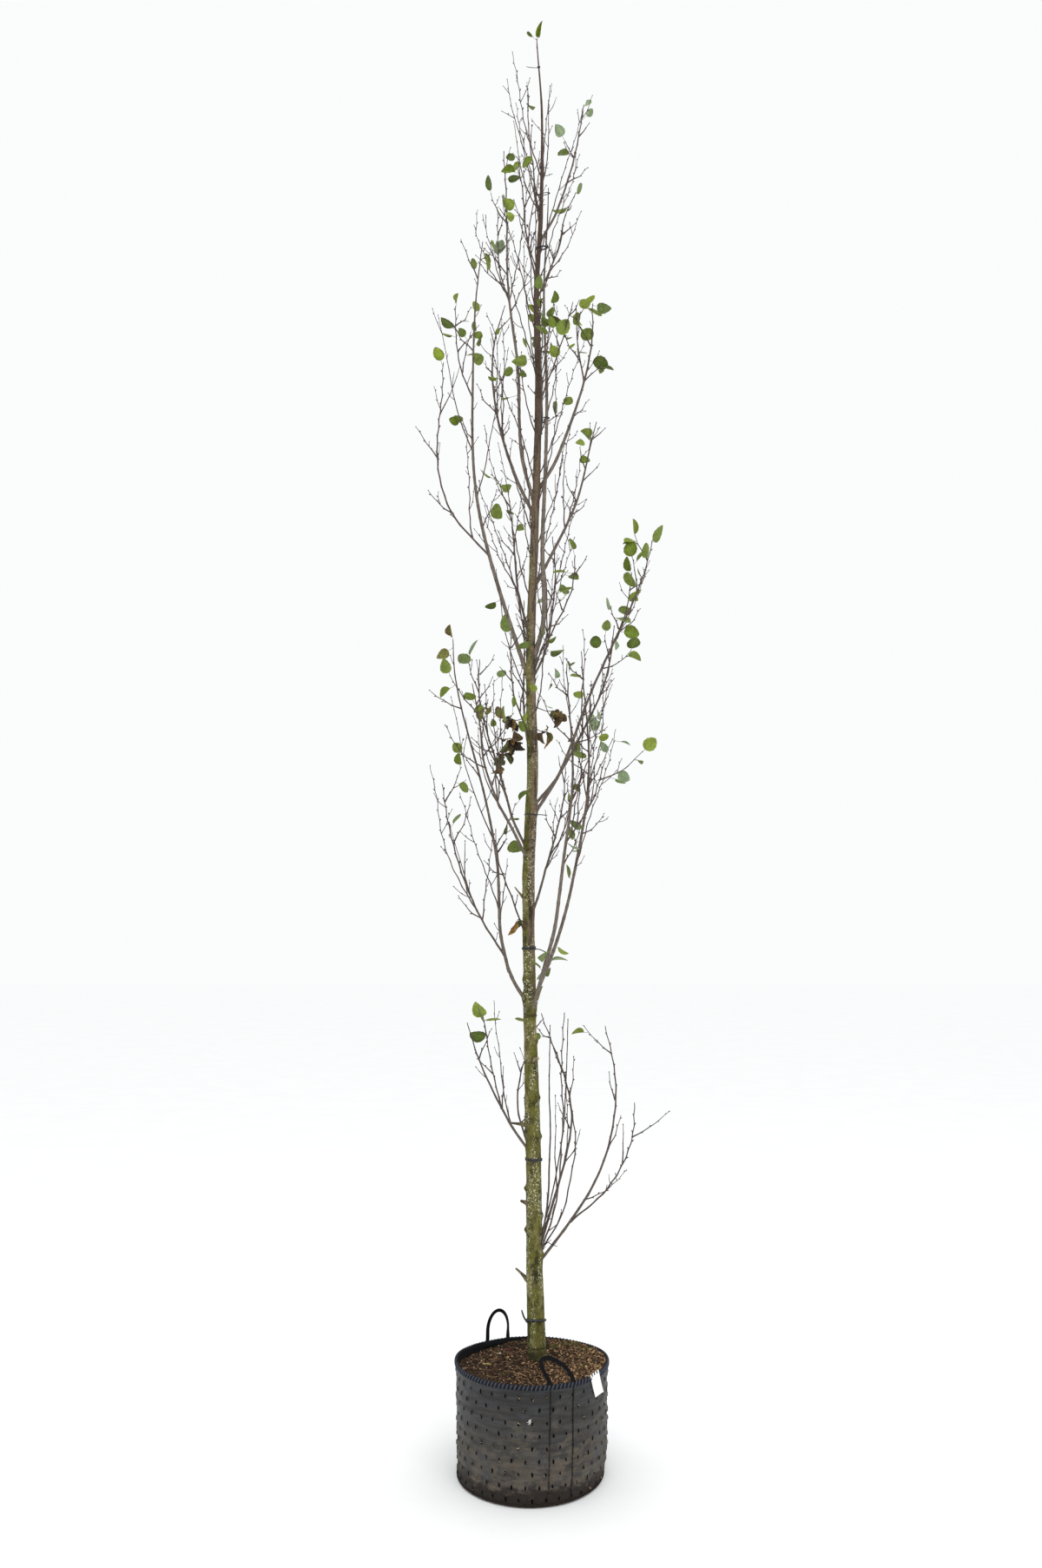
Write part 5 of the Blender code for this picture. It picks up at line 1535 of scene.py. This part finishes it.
# ---------------------------------------------------------------- ties
def build_ties():
    """Soft tie bands snug round the trunk, some doubled, some with a loose tail."""
    material = tie_material()
    tails = Skin("tie_tails", [material])
    rings = []
    # height, thickness, turns, tilt in degrees, tilt azimuth, tail azimuth, tail length, droop
    rows = (
        (0.433, 0.0033, 1, 12, 90, 194, 0.017, -1.9), (0.906, 0.0021, 2, 2, 40, None, 0, 0),
        (1.549, 0.0020, 2, 3, 200, -12, 0.055, 0.5), (1.969, 0.0018, 1, 3, 20, -20, 0.036, 0.1),
        (3.269, 0.0016, 1, 4, 140, -30, 0.018, 0.3), (3.862, 0.0014, 2, 5, 60, 20, 0.024, -0.5),
        (4.055, 0.0013, 1, 5, 250, 160, 0.016, 0.2), (4.149, 0.0013, 1, 4, 30, -25, 0.018, 0.4),
        (4.514, 0.0013, 2, 4, 170, 172, 0.040, -0.2),
    )
    for height, thick, turns, tilt, tilt_azimuth, tail_azimuth, tail, droop in rows:
        trunk, inner = trunk_centre(height), trunk_radius(height)
        centre, stretch, along = trunk.copy(), 1.0, 0.0
        climb = (height - CO_LEADER.height) / CO_LEADER.rise
        if 0.3 < climb < 1:
            other, other_radius = limb_point(CO_LEADER, climb)
            apart = other - trunk
            centre = trunk + apart.normalized() * (apart.length + other_radius - inner) / 2
            stretch = 1 + (apart.length + other_radius - inner) / 2 / inner
            along = atan2(apart.y, apart.x)
        for turn_number in range(turns):
            bpy.ops.mesh.primitive_torus_add(major_segments=48, minor_segments=8, location=(0, 0, 0),
                                             major_radius=inner + thick * 0.75, minor_radius=thick)
            ring = bpy.context.object
            lean = Matrix.Rotation(radians(tilt + 2 * turn_number), 3, UP.cross(heading(tilt_azimuth)))
            there, back = Matrix.Rotation(along, 3, "Z"), Matrix.Rotation(-along, 3, "Z")
            grow = there @ Matrix.Diagonal((stretch, 1, 1)) @ back
            raised = centre + UP * turn_number * 2.1 * thick
            rings.append(moulded(ring, lambda point: raised + lean @ grow @ point))
        if tail_azimuth is not None:
            out = heading(tail_azimuth)
            start = trunk + out * (inner + thick * 0.3)
            path = [start + out * tail * share + UP * -droop * tail * share ** 2
                    for share in (0, 0.3, 0.6, 0.85, 1)]
            tails.tube(path, tapered(thick, 0.8, 0.8, 0.8, 0.8, 0.5), 8)
            knot = [start + out * thick * step for step in (-1.5, -0.6, 0.6, 1.5)]
            tails.tube(knot, tapered(thick, 0.9, 1.9, 1.8, 0.8), 8)
    bough, _ = limb_point(LIMBS[0], 0.055)
    steps = ((-0.014, -0.002, 0.006), (-0.004, -0.007, 0.002), (0.003, -0.0065, -0.001),
             (0.013, -0.003, -0.005))
    tails.tube([bough + Vector(step) for step in steps], 0.0012, 8)
    for ring in rings:
        ring.data.materials.append(material)
    ties = joined("ties", [tails.build(), *rings])
    show(ties, (), 60)


# ---------------------------------------------------------------- the bag
def wall_radius(height):
    """The bag's outer radius at a height, without its wrinkles."""
    return BAG_FOOT_RADIUS + (BAG_RIM_RADIUS - BAG_FOOT_RADIUS) * height / BAG_HEIGHT


def rim_sag(y):
    """How far the soft rim hangs down, more and more towards the back."""
    share = clamp(y / BAG_RIM_RADIUS)
    return RIM_SAG * share ** 2 * (3 - 2 * share)


def slack(turn, height):
    """How far the film stands out of its plain round form: broad bulges and level creases."""
    ring_x, ring_y = cos(turn), sin(turn)
    bulge = drift_at(ring_x * 2.2, ring_y * 2.2, height * 6)
    crease = drift_at(ring_x * 2.6 + 5, ring_y * 2.6, height * 34)
    small = drift_at(ring_x * 9, ring_y * 9 + 3, height * 90)
    fade = min(1.0, (BAG_HEIGHT - height) / 0.05) * clamp(height / 0.03)
    ridge = (1 - abs(crease)) ** 4
    tucked = max(0.0, cos(turn + 0.45)) ** 3 * max(0.0, 1 - height / 0.10) ** 1.5
    return fade * (0.0024 * bulge + 0.0024 * (ridge - 0.3) + 0.0010 * small) - 0.013 * tucked


def bag_surface(azimuth, height, lift=0.0):
    """A point on the bag's outside."""
    turn = radians(azimuth)
    return heading(azimuth) * (wall_radius(height) + slack(turn, height) + lift) + UP * height


def build_bag():
    """The bag's cup: a wrinkled wall, a rounded foot and a flat bottom."""
    low = [(BAG_FOOT_RADIUS - BAG_CORNER + BAG_CORNER * sin(radians(angle)),
            BAG_CORNER - BAG_CORNER * cos(radians(angle))) for angle in range(0, 90, 18)]
    top = BAG_HEIGHT - HEM_HEIGHT - GAP
    wall = [(wall_radius(height), height) for height in np.linspace(BAG_CORNER, top, 66)]
    inside = [(wall_radius(height) - BAG_WALL, height) for height in np.linspace(top, 0.27, 8)]
    inside += [(wall_radius(height) - BAG_WALL, height) for height in (0.11, 0.09, 0.07, 0.055, 0.04, 0.025)]
    inside.append((BAG_FOOT_RADIUS - 0.012, BAG_WALL))
    profile = [(0.0, 0.0), (0.12, 0.0)] + low + wall + inside + [(0.0, BAG_WALL)]
    bag = spun("bag", profile, BAG_STEPS, False)

    def wrinkle(point):
        radius = hypot(point.x, point.y)
        if radius < BAG_FOOT_RADIUS * 0.9:
            return point
        turn = atan2(point.y, point.x)
        grown = (radius + slack(turn, point.z)) / radius
        return Vector((point.x * grown, point.y * grown, point.z))

    moulded(bag, wrinkle)
    film = film_material()
    bag.data.materials.append(film)
    bag.data.materials.append(mottled("bag_lining", (0.010, 0.010, 0.011), 0.7, 0.2))
    for face in bag.data.polygons:
        inward = face.normal.x * face.center.x + face.normal.y * face.center.y < 0
        face.material_index = 1 if inward and face.center.z > 0.05 else 0
    show(bag, ["bag_wall"], 60)
    build_slits(film)
    build_foot_seam()


def slit_shape():
    """A pinched slit in the film, its lip extruded ring by ring round a cut painted near-black as shade. Z is
    outwards.
    """
    deselect()
    bpy.ops.mesh.primitive_circle_add(vertices=10, radius=1, fill_type="NGON", location=(0, 0, 0))
    slit = bpy.context.object
    mode("EDIT")
    bpy.ops.mesh.select_all(action="SELECT")
    bpy.ops.transform.resize(value=(SLIT_SIZE[0] * 1.8, SLIT_SIZE[1] * 1.35, 1), center_override=(0, 0, 0))
    bpy.ops.transform.translate(value=(0, 0, -0.0003))
    rings = ((0.72, 0.85, 0.0015), (0.77, 0.87, 0.0006), (0.72, 0.85, -0.0009), (0.42, 0.70, -0.0004))
    for wide, tall, out in rings:
        bpy.ops.mesh.extrude_region_move(TRANSFORM_OT_translate={"value": (0, 0, out)})
        bpy.ops.transform.resize(value=(wide, tall, 1), center_override=(0, 0, 0))
    mode("OBJECT")
    put_in_order(slit.data)
    verts = [vert.co.copy() for vert in slit.data.vertices]
    faces = [tuple(face.vertices) for face in slit.data.polygons]
    wide, tall = SLIT_SIZE
    # The cut and the inner ring of its lip are painted near-black as shade; the outer lip keeps the film.
    finishes = [0 if hypot(face.center.x / wide, face.center.y / tall) > 0.95 else 1
                for face in slit.data.polygons]
    bpy.data.objects.remove(slit)
    return verts, faces, finishes


def build_slits(film):
    """Rows of small slits round the wall, some with pale root ends poking out."""
    # The slits' second finish is painted shade in the cuts.
    slits = Skin("bag_slits", [film, mottled("slit_painted_shade", (0.004, 0.004, 0.004), 0.9, 0.05)])
    roots = Skin("root_ends", [mottled("root_pale", (0.52, 0.40, 0.22), 0.7),
                               mottled("root_brown", (0.150, 0.085, 0.040), 0.8),
                               mottled("root_tuft", (0.72, 0.72, 0.66), 0.8)])
    verts, faces, finishes = slit_shape()
    chance = random.Random(31)
    for row in range(SLIT_ROWS):
        for column in range(SLIT_COLUMNS):
            azimuth = 360 * (column + 0.5 * (row % 2)) / SLIT_COLUMNS + chance.uniform(-0.35, 0.35)
            height = SLIT_TOP - SLIT_PITCH * row + chance.uniform(-0.0015, 0.0015)
            out = heading(azimuth)
            across = UP.cross(out)
            root = bag_surface(azimuth, height)
            lean = chance.uniform(-0.25, 0.25)
            size = chance.uniform(0.75, 1.15)
            lift = chance.uniform(0.6, 1.5)
            moved = []
            for point in verts:
                x = (point.x * cos(lean) - point.y * sin(lean)) * size
                z = (point.x * sin(lean) + point.y * cos(lean)) * size
                moved.append(root + across * x + UP * z + out * point.z * lift)
            slits.add(moved, faces, list(finishes))
            if chance.random() < (0.30 if height > 0.2 else 0.16):
                for _ in range(chance.randint(1, 4)):
                    start = root + across * chance.uniform(-0.002, 0.002) + UP * chance.uniform(-0.004, 0.004)
                    push = out * chance.uniform(0.3, 1) + across * chance.uniform(-0.8, 0.8)
                    push = (push + UP * chance.uniform(-0.8, 0.8)).normalized()
                    length = chance.uniform(0.003, 0.007)
                    path = [start, start + push * length * 0.6 + out * 0.001,
                            start + push * length - out * 0.0004]
                    roots.tube(path, [0.0007, 0.0006, 0.0003], 5, 0 if chance.random() < 0.6 else 1)
    for _ in range(TUFT_ROOTS):
        azimuth = TUFT_AZIMUTH + chance.uniform(-0.6, 0.6)
        start = bag_surface(azimuth, TUFT_HEIGHT + chance.uniform(-0.004, 0.004), 0.0005)
        push = Vector((chance.uniform(-1, 1), -0.25, chance.uniform(-1.4, 1.4))).normalized() * 0.007
        path = [start, start + push * 0.5 + Vector((0, -0.001, 0)), start + push]
        roots.tube(path, [0.0007, 0.0007, 0.0004], 5, 2)
    slits.show("bag")
    roots.show("soil")


def build_foot_seam():
    """The sewn ridge where the wall meets the bottom, with its thread."""
    seam = Skin("foot_seam", [cloth("seam_dark", (0.016, 0.012, 0.010), (0.045, 0.034, 0.026), 300)])
    path = []
    for number in range(181):
        height = 0.0075 + 0.0012 * drift_at(cos(radians(2 * number)) * 4, number / 20, 0)
        path.append(bag_surface(2 * number, height, -0.0004))
    seam.tube(path, 0.0026, 8)
    chance = random.Random(5)
    for number in range(FOOT_STITCHES):
        azimuth = 360 * number / FOOT_STITCHES + chance.uniform(-0.2, 0.2)
        path = [bag_surface(azimuth - 0.5, 0.0055, 0.0016), bag_surface(azimuth, 0.009, 0.0030),
                bag_surface(azimuth + 0.6, 0.0125, 0.0016)]
        seam.tube(path, 0.0007, 5)
    seam.show("webbing")


def build_hem():
    """The rolled hem, softly waved, with slanting overlock stitches over its edge."""
    outer = BAG_RIM_RADIUS + HEM_PROUD
    middle = outer - HEM_THICKNESS / 2
    low = BAG_HEIGHT - HEM_HEIGHT
    half = HEM_THICKNESS / 2
    profile = [(middle + half * cos(radians(angle)), BAG_HEIGHT - half + half * sin(radians(angle)))
               for angle in range(0, 181, 20)]
    profile += [(outer - HEM_THICKNESS, low), (outer - 0.002, low - 0.0004), (outer - 0.0003, low + 0.001)]
    hem = spun("bag_hem_cloth", profile, BAG_STEPS, True)

    def wave(point):
        turn = atan2(point.y, point.x)
        ring = Vector((cos(turn) * 5, sin(turn) * 5, 0))
        rise = (point.z - low) / HEM_HEIGHT
        out = 0.0008 * noise.noise(ring + Vector((0, 0, 7)))
        grown = 1 + out / outer
        level = point.z + 0.0010 * rise * noise.noise(ring) - rim_sag(point.y)
        return Vector((point.x * grown, point.y * grown, level))

    moulded(hem, wave)
    hem.data.materials.append(cloth("hem_cloth", (0.009, 0.009, 0.011), (0.026, 0.027, 0.031), 260))
    show(hem, ["bag_hem"], 60)
    thread = Skin("hem_stitches", [cloth("thread", (0.046, 0.052, 0.070), (0.100, 0.112, 0.145), 700)])
    chance = random.Random(12)
    for number in range(STITCHES):
        azimuth = 360 * number / STITCHES + chance.uniform(-0.12, 0.12)
        rows = ((-1.1, outer + 0.0002, low - 0.0006), (-0.75, outer + 0.0010, low + 0.004),
                (-0.2, outer + 0.0010, low + 0.009), (0.3, outer - 0.0004, BAG_HEIGHT - 0.0008),
                (0.55, middle + 0.0008, BAG_HEIGHT + 0.0002), (0.7, middle, BAG_HEIGHT - 0.0002))
        slant = chance.uniform(0.8, 1.15)
        path = [heading(azimuth + slant * shift) * radius + UP * height for shift, radius, height in rows]
        path = [point - UP * rim_sag(point.y) for point in path]
        thread.tube(path, [0.0012, 0.0020, 0.0023, 0.0020, 0.0015, 0.0007], 6)
    thread.show("webbing")


def loop_point(share):
    """A carrying loop's shape: two straight legs and an arch, as (across, up)."""
    half = LOOP_SPAN / 2
    if share <= LOOP_LEG_SHARE:
        return -half, LOOP_LEG * share / LOOP_LEG_SHARE
    if share >= 1 - LOOP_LEG_SHARE:
        return half, LOOP_LEG * (1 - share) / LOOP_LEG_SHARE
    turn = pi * (share - LOOP_LEG_SHARE) / (1 - 2 * LOOP_LEG_SHARE)
    return -half * cos(turn), LOOP_LEG + LOOP_ARCH * sin(turn)


def build_loop(name, node, azimuth, inward, left, drop, down, twist):
    """A loop of flat webbing, twisted along its way."""
    out = heading(azimuth)
    across = UP.cross(out)
    foot = out * (BAG_RIM_RADIUS - LOOP_IN_FROM_RIM) + UP * (BAG_HEIGHT + GAP)
    foot.z -= rim_sag(foot.y)
    full = LOOP_LEG + LOOP_ARCH

    def middle(share):
        side, up = loop_point(clamp(share))
        lean = (up / full) ** 1.3
        point = foot + across * side + UP * (up - drop * lean) - out * inward * lean
        hidden = max(-share, share - 1, 0) * 10
        return point - Vector((left * lean, 0, 0)) - (UP * down + out * 0.0045) * hidden - out * 0.0008

    def place(u, v):
        share = -0.1 + 1.2 * v
        along = (middle(share + 0.004) - middle(share - 0.004)).normalized()
        in_plane = along.cross(out).normalized()
        through = in_plane.cross(along).normalized()
        turn = radians(curve_through(twist, clamp(share), 1))
        return middle(share) + (in_plane * cos(turn) + through * sin(turn)) * STRAP_WIDTH * (u - 0.5)

    loop = thickened(sheet(name, 6, 96, place), STRAP_THICKNESS * 0.8)
    loop.data.materials.append(cloth(name + "_webbing", (0.004, 0.004, 0.005), (0.011, 0.011, 0.013), 420))
    show(loop, [node], 50)


def build_seams():
    """The straps' stitched lines, down the wall below each leg of the loops."""
    seams = Skin("strap_seams", [mottled("seam_thread", (0.010, 0.010, 0.011), 0.8, 0.2),
                                 mottled("seam_rusty", (0.060, 0.034, 0.020), 0.85, 0.2)])
    chance = random.Random(21)
    spread = degrees(LOOP_SPAN / 2 / BAG_RIM_RADIUS)
    for _, _, loop_azimuth, *_ in LOOPS:
        for side in (-1, 1):
            azimuth = loop_azimuth + side * spread
            shares = [number / 45 for number in range(46)]
            path = [bag_surface(azimuth - SEAM_LEAN * share, SEAM_TOP - SEAM_FALL * share, 0.0002)
                    for share in shares]
            seams.tube(path, 0.0016, 6)
            height = SEAM_TOP - 0.004
            while height > SEAM_TOP - SEAM_FALL + 0.002:
                at = azimuth - SEAM_LEAN * (SEAM_TOP - height) / SEAM_FALL + chance.uniform(-0.12, 0.12)
                path = [bag_surface(at, height, 0.0004), bag_surface(at, height - 0.0020, 0.0018),
                        bag_surface(at, height - 0.0040, 0.0004)]
                finish = 1 if height < 0.18 and chance.random() < 0.45 else 0
                seams.tube(path, [0.0016, 0.0022, 0.0016], 6, finish)
                height -= SEAM_PITCH * chance.uniform(0.85, 1.15)
    seams.show("webbing")


def build_tag():
    """A blank label with a torn, notched top, gently bent."""
    half = TAG_WIDTH / 2
    out = heading(TAG_AZIMUTH)
    facing = heading(TAG_AZIMUTH + TAG_TURN)
    tilt = Matrix.Rotation(radians(TAG_TILT), 3, facing)
    side, up = tilt @ UP.cross(facing), tilt @ UP
    clear = BAG_RIM_RADIUS + HEM_PROUD + TAG_THICKNESS / 2 + TAG_CLEAR
    middle = out * clear + UP * (BAG_HEIGHT + TAG_RAISED)
    columns, rows = 2 * TAG_NOTCHES + 1, 12

    def place(u, v):
        x = half - TAG_WIDTH * u
        y = -TAG_NOTCH_DEPTH - (TAG_LENGTH - TAG_NOTCH_DEPTH) * (rows * v - 1) / (rows - 1)
        if v < 0.5 / rows:
            y = 0.0012 * drift_at(u * 20, 0, 5)
        bend = 0.0022 * sin(2.6 * y / TAG_LENGTH + 0.6) + 0.0010 * (x / half) ** 2
        return middle + side * x + up * y + facing * bend

    tag = sheet("tag_label", columns, rows, place)
    mode("EDIT")
    bpy.ops.mesh.select_mode(type="FACE")
    bpy.ops.mesh.select_all(action="DESELECT")
    mode("OBJECT")
    for face in tag.data.polygons:
        column = int((half - side.dot(face.center - middle)) / TAG_WIDTH * columns)
        face.select = up.dot(face.center - middle) > -TAG_NOTCH_DEPTH and column % 2 == 1
    mode("EDIT")
    bpy.ops.mesh.delete(type="FACE")
    bpy.ops.mesh.select_mode(type="VERT")
    mode("OBJECT")
    thickened(tag, TAG_THICKNESS / 2)
    tag.data.materials.append(tag_material())
    show(tag, ["tag"], 40)


# ---------------------------------------------------------------- soil
def soil_height(radius, azimuth):
    """The soil's level: a little higher at the rim than at the trunk, but sunken along one side."""
    share = clamp((radius - SOIL_FLAT_RADIUS) / (BAG_FOOT_RADIUS - SOIL_FLAT_RADIUS))
    side = max(0.0, cos(radians(azimuth - SOIL_DIP_AZIMUTH))) ** 3
    lumps = noise.noise(heading(azimuth) * radius * 38) * 0.0022 * min(1.0, radius / 0.05)
    lowered = SOIL_EDGE_DIP * side * share ** 1.5 + rim_sag(radius * sin(radians(azimuth))) * share
    return SOIL_LEVEL - (SOIL_LEVEL - SOIL_EDGE_LEVEL) * share - lowered + lumps


def soil_under(spot):
    """The soil's level at a spot, given as a level vector from the middle."""
    return soil_height(spot.length, degrees(atan2(spot.y, spot.x)))


def build_soil():
    """The soil's bed, with its chips, fibres and moss on it."""
    edge = BAG_RIM_RADIUS - BAG_WALL - 0.0012
    chance = random.Random(8)
    build_soil_bed(edge)
    build_chips(chance, edge)
    build_fibres(chance, edge)
    build_moss(chance, edge)


def build_soil_bed(edge):
    """The filling of the bag with its lumpy top."""
    top_edge = BAG_RIM_RADIUS + HEM_PROUD - HEM_THICKNESS - 0.0004
    radii = [top_edge * (number / 44) ** 0.85 for number in range(45)]
    profile = [(radius, SOIL_LEVEL) for radius in radii]
    profile += [(edge, 0.29), (edge - 0.004, 0.13), (edge - 0.024, 0.010), (0.0, 0.008)]
    soil = spun("soil_bed", profile, 150, False)

    def settle(point):
        if point.z < SOIL_LEVEL - 0.001:
            return point
        radius = hypot(point.x, point.y)
        return Vector((point.x, point.y, soil_height(radius, degrees(atan2(point.y, point.x)))))

    moulded(soil, settle)
    soil.data.materials.append(soil_material())
    show(soil, ["soil"], 80)


def soil_spots(chance, count, edge, clear):
    """Chance places on the soil, all of them clear of the trunk by this much from its middle."""
    trunk = trunk_centre(TRUNK_FOOT)
    trunk.z = 0
    for _ in range(count):
        radius = edge * sqrt(chance.random())
        azimuth = chance.uniform(0, 360)
        spot = heading(azimuth) * radius
        if (spot - trunk).length >= clear:
            spot.z = soil_height(radius, azimuth)
            yield spot


def build_chips(chance, edge):
    """Chips of bark, darker on the shady side."""
    colors = ((0.010, 0.006, 0.005), (0.054, 0.026, 0.013), (0.150, 0.078, 0.035), (0.340, 0.196, 0.094),
              (0.520, 0.350, 0.185))
    shady, sunny = (46, 33, 14, 5, 2), (6, 12, 27, 37, 18)
    chips = Skin("soil_chips", [mottled(f"chip_{number}", color, 0.9, 0.2)
                                for number, color in enumerate(colors)])
    for root in soil_spots(chance, SOIL_CHIPS, edge * 0.985, trunk_radius(TRUNK_FOOT) * 0.95):
        root.z += chance.uniform(-0.0008, 0.0018)
        length = 0.0022 + 0.0092 * chance.random() ** 2.6
        towards = aimed(chance, (-1, 1), (-1, 1), (-0.35, 0.45))
        width = length * chance.uniform(0.28, 0.62)
        across = towards.cross(UP).normalized() * width
        thick = towards.cross(across).normalized() * width * 0.35
        ends = (root - towards * length * 0.5, root + towards * length * 0.5)
        verts = [ends[0], root + across * 0.5 - thick, root + across * 0.4 + thick,
                 root - across * 0.45 + thick, root - across * 0.5 - thick, ends[1]]
        faces = [(0, 2, 1), (0, 3, 2), (0, 4, 3), (0, 1, 4), (5, 1, 2), (5, 2, 3), (5, 3, 4), (5, 4, 1)]
        is_sunny = chance.random() < 0.26 + 3.6 * root.x - 0.7 * root.y
        chips.add(verts, faces, chance.choices(range(len(colors)), sunny if is_sunny else shady)[0])
    chips.show("soil", 20)


def build_fibres(chance, edge):
    """Fibres strewn over the soil, and a few straws, red threads and pale bits."""
    fibres = Skin("soil_fibres", [mottled("fibre_tan", (0.33, 0.22, 0.115), 0.8),
                                  mottled("fibre_straw", (0.55, 0.42, 0.14), 0.7),
                                  mottled("fibre_red", (0.16, 0.030, 0.018), 0.7),
                                  mottled("chalk_bit", (0.74, 0.64, 0.46), 0.8)])
    for root in soil_spots(chance, SOIL_FIBRES, edge * 0.97, 0.035):
        root.z += 0.0012
        add_fibre(fibres, chance, root, chance.uniform(0.006, 0.020), 0.00045, 0)
    for x, y, count, finish, length in ((-0.131, -0.040, 3, 1, 0.024), (-0.074, 0.100, 4, 2, 0.018),
                                        (-0.072, 0.106, 2, 2, 0.022), (-0.100, 0.058, 2, 3, 0.006)):
        for _ in range(count):
            root = Vector((x + chance.uniform(-0.004, 0.004), y + chance.uniform(-0.004, 0.004), 0))
            root.z = soil_under(root) + 0.0022
            add_fibre(fibres, chance, root, length, 0.0022 if finish == 3 else 0.0009, finish)
    fibres.show("soil")


def add_fibre(skin, chance, root, length, radius, finish):
    """A thin, slightly curved thread lying on the soil."""
    towards = aimed(chance, (-1, 1), (-1, 1), (-0.05, 0.15))
    bend = towards.cross(UP) * length * chance.uniform(-0.25, 0.25)
    path = [root - towards * length / 2, root + bend, root + towards * length / 2 + UP * 0.0004]
    skin.tube(path, tapered(radius, 0.7, 1, 0.6), 5, finish)


def build_moss(chance, edge):
    """Cushions of moss on the soil behind the trunk, made of many short points."""
    moss = Skin("moss", [mottled("moss_green", (0.085, 0.092, 0.024), 0.85, 0.2),
                         mottled("moss_light", (0.170, 0.165, 0.050), 0.85, 0.2)])
    beds = ((0.129, 0.153, 0.034, 300), (0.074, 0.121, 0.026, 170), (0.165, 0.095, 0.030, 170),
            (-0.020, 0.165, 0.020, 70), (0.150, -0.060, 0.018, 50), (-0.085, -0.120, 0.014, 36))
    for x, y, spread, count in beds:
        for _ in range(count):
            root = Vector((x + chance.gauss(0, spread * 0.5), y + chance.gauss(0, spread * 0.5), 0))
            if root.length > edge * 0.98:
                continue
            root.z = soil_under(root) - 0.0006
            lean = Vector((chance.uniform(-0.6, 0.6), chance.uniform(-0.6, 0.6), 1.0)).normalized()
            length = chance.uniform(0.0025, 0.0048)
            moss.tube([root, root + lean * length * 0.6, root + lean * length], [0.0007, 0.0009, 0.0002], 4,
                      chance.choices((0, 1), (3, 1))[0])
    moss.show("soil")


# ---------------------------------------------------------------- stage
def build_stage():
    """A pale floor, even sky light, a large soft lamp and the camera."""
    deselect()
    bpy.ops.mesh.primitive_plane_add(size=FLOOR_SIZE, location=(0, 0, 0))
    floor = bpy.context.object
    floor.name = "floor"
    floor.data.materials.append(mottled("pale_floor", (0.985, 0.988, 0.990), 0.95, 0.0, 3, 0.008))
    world = bpy.data.worlds.new("soft_sky")
    world.use_nodes = True
    world.node_tree.nodes["Background"].inputs["Color"].default_value = (0.965, 0.975, 0.978, 1)
    world.node_tree.nodes["Background"].inputs["Strength"].default_value = 1.0
    bpy.context.scene.world = world
    lamp = bpy.data.lights.new("softbox", "AREA")
    lamp.energy = LAMP_POWER
    lamp.size = LAMP_SIZE
    lamp_stand = placed("softbox", lamp)
    lamp_stand.location = LAMP_PLACE
    aim = LAMP_AIM - lamp_stand.location
    lamp_stand.rotation_euler = aim.to_track_quat("-Z", "Y").to_euler()
    camera = bpy.data.cameras.new("camera")
    camera.lens = CAMERA_LENS
    camera.sensor_width = 36
    camera.sensor_fit = "AUTO"
    camera.clip_end = 100
    viewer = placed("camera", camera)
    viewer.location = CAMERA_PLACE
    viewer.rotation_euler = (radians(90 + CAMERA_TILT), 0, 0)
    bpy.context.scene.camera = viewer
    bpy.context.scene.view_settings.view_transform = "Standard"


# ---------------------------------------------------------------- the whole scene
masses, room = grow_all()
build_trunk()
wood = Wood()
wood.build(masses, room)
build_leaves(masses, wood.perches)
build_dead_leaves(wood.perches)
build_ties()
build_bag()
build_hem()
for row in LOOPS:
    build_loop(*row)
build_seams()
build_tag()
build_soil()
build_stage()
